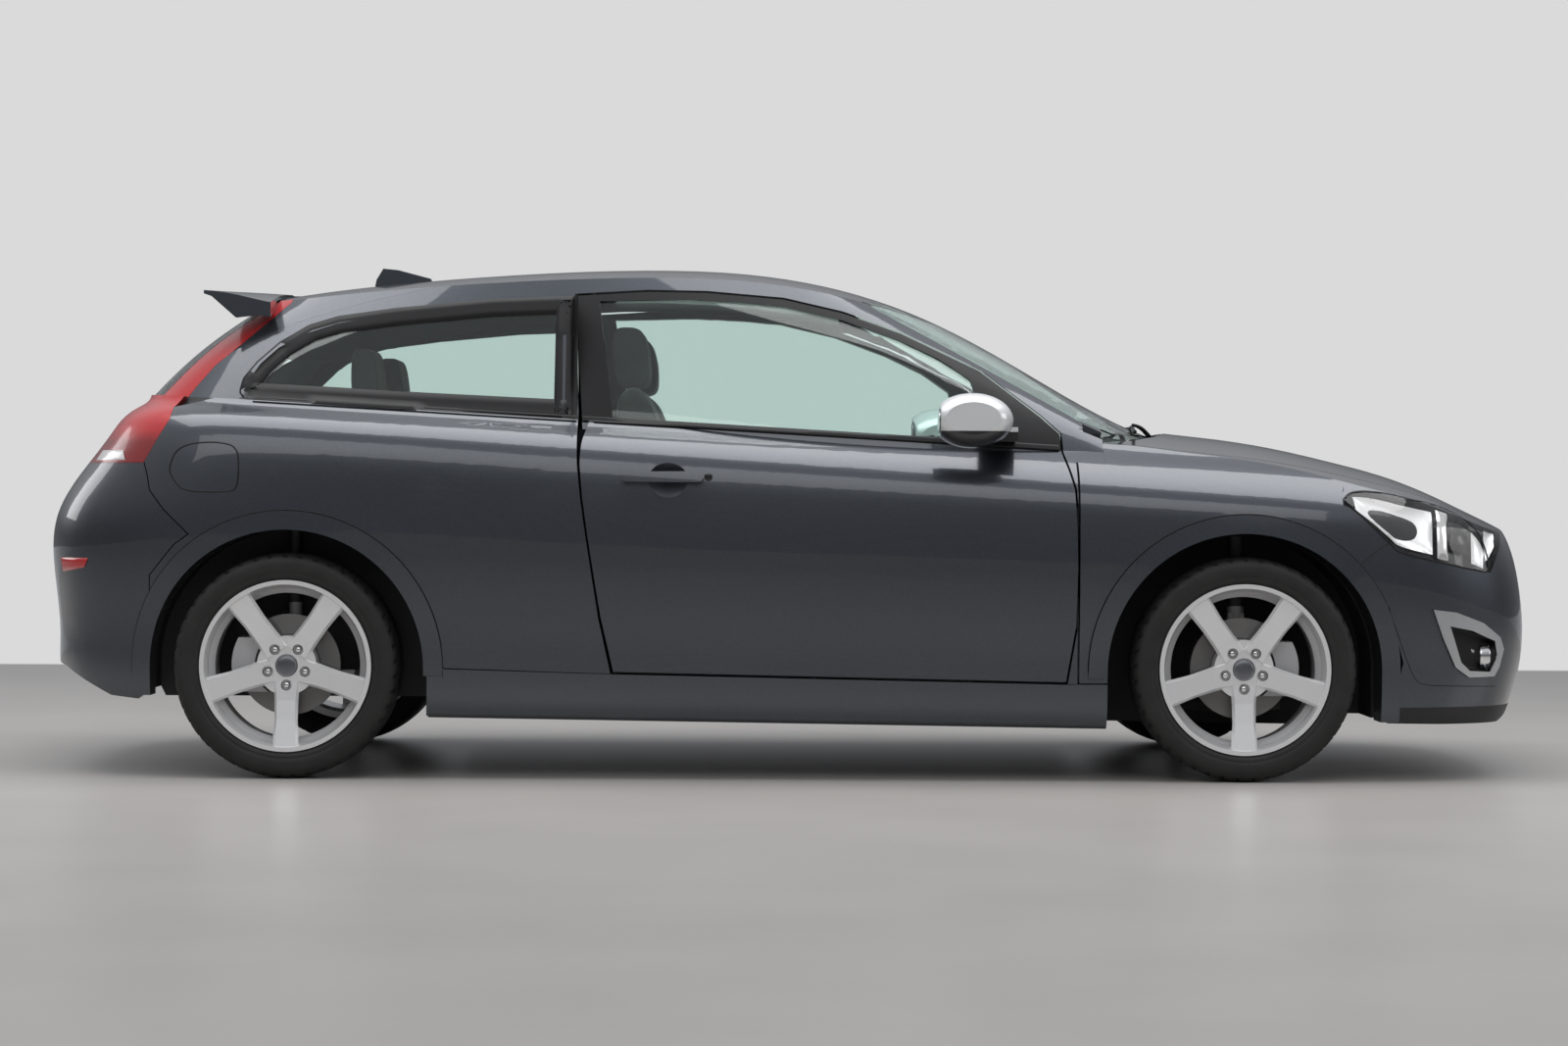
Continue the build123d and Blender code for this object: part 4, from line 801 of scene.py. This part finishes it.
def cushion(name, section, y_middle, half_width, swell, channels=(-0.38, 0.38), replaces=None, count=120,
            across=56):
    """The section shrinks about its middle towards each end as a superellipse does, and the crown swells it
    in between; the channels are narrow dips square to the width."""
    line = smooth_path(section, count, closed=True)
    middle = (line.max(0) + line.min(0)) / 2
    t = np.linspace(-1, 1, across)
    share = np.clip(1 - np.abs(t) ** 5, 0, 1) ** 0.35
    size = np.where(np.abs(t) > 0.995, END_SIZE, 1 - DRAWN_IN + DRAWN_IN * share)
    y_low, y_high = y_middle - half_width, y_middle + half_width
    y = y_low + (y_high - y_low) * (0.5 + 0.5 * np.sin(t * pi / 2))
    crown = swell * np.cos(t * pi / 2) ** 0.7
    bolster = swell * 0.8 * np.exp(-((np.abs(t) - BOLSTER_AT) / BOLSTER_WIDTH) ** 2)
    dips = sum(-CHANNEL_DEPTH * np.exp(-((t - c) / CHANNEL_WIDTH) ** 2) for c in channels)
    outward = line - middle
    outward /= np.maximum(np.linalg.norm(outward, axis=1), 1e-9)[:, None]
    plan = (middle + (line - middle)[None] * size[:, None, None]
            + outward[None] * (crown + bolster + dips)[:, None, None])
    points = np.stack([plan[..., 0], np.broadcast_to(y[:, None], plan.shape[:2]), plan[..., 1]], -1)
    ends = [np.repeat(points[k].mean(0)[None, None], count, 1).reshape(1, count, 3) for k in (0, -1)]
    points = np.concatenate([ends[0], points, ends[1]])
    piece = grid_object(name, points, seat_cloth, "body", "upholstery", close_columns=True)
    normals, centres = (np.empty(len(piece.data.polygons) * 3) for _ in range(2))
    piece.data.polygons.foreach_get("normal", normals)
    piece.data.polygons.foreach_get("center", centres)
    from_middle = centres.reshape(-1, 3) - points.reshape(-1, 3).mean(0)
    if (from_middle * normals.reshape(-1, 3)).sum() < 0:
        piece.data.flip_normals()
    if replaces:
        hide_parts(replaces)


FRONT_PAN = [(-0.270, 0.335), (-0.100, 0.290), (0.120, 0.285), (0.182, 0.360), (0.176, 0.425), (0.050, 0.448),
             (-0.190, 0.432), (-0.262, 0.470), (-0.310, 0.440)]
FRONT_BACK = [(-0.215, 0.440), (-0.268, 0.560), (-0.325, 0.800), (-0.384, 1.010), (-0.425, 1.075),
              (-0.472, 1.072), (-0.492, 1.000), (-0.450, 0.780), (-0.400, 0.560), (-0.330, 0.420)]
FRONT_REST = [(-0.440, 1.092), (-0.408, 1.120), (-0.422, 1.235), (-0.470, 1.258), (-0.507, 1.235),
              (-0.495, 1.110)]
REAR_PAN = [(-1.080, 0.350), (-0.720, 0.345), (-0.665, 0.415), (-0.695, 0.446), (-1.040, 0.432),
            (-1.100, 0.460)]
REAR_BACK = [(-1.090, 0.450), (-1.130, 0.560), (-1.165, 0.780), (-1.196, 0.970), (-1.250, 0.998),
             (-1.280, 0.970), (-1.255, 0.720), (-1.225, 0.500), (-1.150, 0.440)]
REAR_REST = [(-1.210, 1.010), (-1.180, 1.045), (-1.190, 1.172), (-1.220, 1.193), (-1.252, 1.172),
             (-1.246, 1.040)]
small = {"channels": (0.0,), "count": 60, "across": 32}
for hand, side in HANDS:
    first = side < 0
    cushion("front_seat_pan_" + hand, FRONT_PAN, side * SEAT_Y, 0.235, 0.006,
            replaces="front_seats" if first else None)
    cushion("front_seat_back_" + hand, FRONT_BACK, side * SEAT_Y, 0.230, 0.006)
    cushion("front_headrest_" + hand, FRONT_REST, side * SEAT_Y, 0.124, 0.003, **small)
    cushion("rear_seat_pan_" + hand, REAR_PAN, side * REAR_SEAT_Y, 0.220, 0.006,
            replaces="rear_seats" if first else None)
    cushion("rear_seat_back_" + hand, REAR_BACK, side * REAR_SEAT_Y, 0.215, 0.006)
    cushion("rear_headrest_" + hand, REAR_REST, side * REAR_SEAT_Y, 0.120, 0.003, **small)


# Headrest posts of chromed steel, and the hard shell under each seat that carries it on the floor.
POST_SHIFT = 0.055
POST_R = 0.006
POSTS = (("front", SEAT_Y, ((-0.440, 1.02), (-0.452, 1.07), (-0.462, 1.13))),
         ("rear", REAR_SEAT_Y, ((-1.228, 0.95), (-1.222, 1.00), (-1.215, 1.06))))
SEAT_BASE = [(-0.245, 0.2405), (0.118, 0.2405), (0.136, 0.33), (0.10, 0.36), (-0.24, 0.36)]
REAR_SEAT_BASE = [(-1.10, 0.3305), (-0.71, 0.3305), (-0.69, 0.39), (-1.10, 0.39)]
BASE_HALF = 0.21


def tube_points(path, radius, around=12):
    """Rings of points about a smooth path, square to its direction and closed at its ends."""
    path = np.asarray(path, float)
    along = np.gradient(path, axis=0)
    along /= np.linalg.norm(along, axis=1)[:, None]
    guide = np.array((0.0, 1.0, 0.0)) if abs(along[0][1]) < 0.8 else np.array((1.0, 0.0, 0.0))
    first = np.cross(along, guide)
    first /= np.linalg.norm(first, axis=1)[:, None]
    second = np.cross(along, first)
    angle = np.linspace(0, tau, around, endpoint=False)
    radius = np.broadcast_to(np.asarray(radius, float), (len(path),))[:, None, None]
    ring = first[:, None] * np.cos(angle)[None, :, None] + second[:, None] * np.sin(angle)[None, :, None]
    rings = path[:, None] + radius * ring
    ends = [np.repeat(path[k][None, None], around, 1) for k in (0, -1)]
    return np.concatenate([ends[0], rings, ends[1]])


def seat_base(name, outline, y_middle):
    """A side outline carried across the seat, with both ends drawn to its middle to close them."""
    outline = np.array(outline)
    middle = outline.mean(0)
    rows = []
    for y, size in ((-BASE_HALF, 0), (-BASE_HALF, 1), (BASE_HALF, 1), (BASE_HALF, 0)):
        flat = middle + (outline - middle) * size
        rows.append(np.stack([flat[:, 0], np.full(len(outline), y_middle + y), flat[:, 1]], -1))
    grid_object(name, np.stack(rows), moulding, "body", "black_plastic", close_columns=True, flip=True)


for hand, side in HANDS:
    for k, shift in enumerate((-POST_SHIFT, POST_SHIFT)):
        for row, y_middle, line in POSTS:
            path = smooth_path([(x, side * y_middle + shift, z) for x, z in line], 24)
            grid_object(f"{row}_headrest_post_{k}_{hand}", tube_points(path, POST_R), chrome, "body", "steel",
                        close_columns=True, flip=True)
    seat_base("seat_base_" + hand, SEAT_BASE, side * SEAT_Y)
    seat_base("rear_seat_base_" + hand, REAR_SEAT_BASE, side * REAR_SEAT_Y)


# Mirrors: a silver cap over a black foot, with the glass in a black rim on the flat face towards the driver.
# The CAD housing is one piece, so its finish changes at the foot's edge.
MIRROR_FOOT_TOP = 0.962
MIRROR_BACK_X = 0.402
MIRROR_CENTRE = (0.915, 0.9905)
PANE_SECTION = [(0.0, 0.0016), (0.90, 0.0016), (1.0, 0.0016), (1.0, -0.001)]


def mirror_finish():
    """Silver lacquer, turned to black plastic under the cap's lower edge and on the stalk."""
    made, tree, shader = new_material("mirror_cap")
    foot = maths(tree, "LESS_THAN", object_axes(tree)["Z"], MIRROR_FOOT_TOP)
    silver = flakes(tree, object_place(tree), 1800.0, (0.60, 0.61, 0.62, 1), (0.74, 0.75, 0.76, 1))
    fill_in(shader, Base_Color=mixed(tree, foot, silver, BLACK), Roughness=0.33, Coat_Weight=0.6,
            Metallic=ranged(tree, foot, To_Min=0.4, To_Max=0.0))
    return made


finish_nodes(mirror_finish(), "mirror_right", "mirror_left")
silvered = metal("silvered_glass", (0.82, 0.84, 0.85), 0.04, scale=8.0, spread=0.02)
angle = np.linspace(0, tau, 64, endpoint=False)[None]
share, back = np.array(PANE_SECTION).T[:, :, None]
round_off = (np.abs(np.cos(angle)) ** 3 + np.abs(np.sin(angle)) ** 3) ** (-1 / 3)
for hand, side in HANDS:
    for name, size, lift, material in (("mirror_rim_", (0.062, 0.034), 0.0, gloss_black),
                                       ("mirror_glass_", (0.056, 0.028), 0.0014, silvered)):
        points = np.stack([MIRROR_BACK_X - back - lift + 0 * angle,
                           side * (MIRROR_CENTRE[0] + share * round_off * size[0] * np.cos(angle)),
                           MIRROR_CENTRE[1] + share * round_off * size[1] * np.sin(angle)], -1)
        grid_object(name + hand, points, material, "door_" + hand, "silver_plastic", close_columns=True,
                    flip=side > 0)


# Door locks: a small round barrel cover at the front end of each handle.
LOCK_CENTRE = (-0.2300, 0.8835, 0.8350)
LOCK_SECTION = [(0.0, 0.0040), (0.008, 0.0038), (0.0105, 0.0028), (0.0112, 0.0), (0.0112, -0.006)]
for hand, side in HANDS:
    points = turned_points(LOCK_SECTION, np.array(LOCK_CENTRE) * (1, side, 1), side, 40)
    grid_object("door_lock_" + hand, points, gloss_black, "door_" + hand, "black_plastic", close_rows=True,
                flip=side > 0)


# Wipers: two parked across the foot of the windscreen, each an arm that carries a rubber blade, the arm
# finished in the same black rubber.
BLADE_R = 0.0055
BLADE_LIFT = 0.009
ARM_OVER_BLADE = 0.010
ARM_BOW = 0.008
ARM_R = (0.0075, 0.0045)


def wiper(name, start, end, hub):
    """A blade between two places in plan, on the glass, with its arm from the hub to the blade's middle."""
    across = np.linspace(0, 1, 24)
    x = start[0] + (end[0] - start[0]) * across
    y = start[1] + (end[1] - start[1]) * across
    seen_from_above = cad_triangles("windscreen")[:, :, [0, 2, 1]]
    z = skin(seen_from_above, x[None], y[None])[0]
    blade = np.stack([x, y, z + BLADE_LIFT], -1)
    share = np.linspace(0, 1, 16)[:, None]
    arm = (np.asarray(hub) * (1 - share) + (blade[12] + (0, 0, ARM_OVER_BLADE)) * share
           + np.sin(share * pi) * (0, 0, ARM_BOW))
    for part, path, radius in (("_blade", blade, BLADE_R), ("_arm", arm, np.linspace(*ARM_R, 16))):
        grid_object(name + part, tube_points(path, radius, 10), seal_rubber, "body", "black_plastic",
                    close_columns=True, flip=True)


wiper("driver_wiper", (0.985, 0.55), (1.012, 0.02), (1.035, 0.42, 0.962))
wiper("passenger_wiper", (1.010, -0.03), (0.972, -0.56), (1.052, -0.18, 0.960))


# The light: a pale room, a long soft box over the car, a broad one on the camera's side and a small one
# towards each end.
HORIZON = (0.10, 0.103, 0.11, 1)
OVERHEAD = (0.62, 0.635, 0.66, 1)
world = bpy.data.worlds.new("room")
bpy.context.scene.world = world
world.use_nodes = True
tree = world.node_tree
way = add_node(tree, "TexCoord").outputs["Generated"]
rise = add_node(tree, "ValToRGB", Fac=add_node(tree, "SeparateXYZ", Vector=way).outputs["Z"])
for stop, position, colour in zip(rise.color_ramp.elements, (0.04, 0.55), (HORIZON, OVERHEAD)):
    stop.position = position
    stop.color = colour
fill_in(tree.nodes["Background"], Color=mixed(tree, directly_seen(tree), rise.outputs["Color"], WALL_GREY))


def soft_box(name, at, towards, size, watts):
    """A rectangular lamp at a place, turned towards a point."""
    lamp = bpy.data.lights.new(name, "AREA")
    lamp.shape = "RECTANGLE"
    lamp.size, lamp.size_y = size
    lamp.energy = watts
    made = bpy.data.objects.new(name, lamp)
    bpy.context.scene.collection.objects.link(made)
    back = Matrix.Translation(at).translation - Matrix.Translation(towards).translation
    made.matrix_world = Matrix.Translation(at) @ back.to_track_quat("Z", "Y").to_matrix().to_4x4()


soft_box("overhead", (0, -0.6, 4.6), (0, 0, 0.5), (8.0, 3.2), 250)
soft_box("side", (-1.0, -8.0, 4.6), (0, 0, 0.7), (11.0, 3.4), 150)
soft_box("front_fill", (7.5, -2.5, 2.6), (0, 0, 0.6), (3.0, 2.5), 60)
soft_box("rear_fill", (-7.5, 2.5, 3.0), (0, 0, 0.6), (3.0, 2.5), 60)
bpy.context.scene.view_settings.view_transform = "Standard"
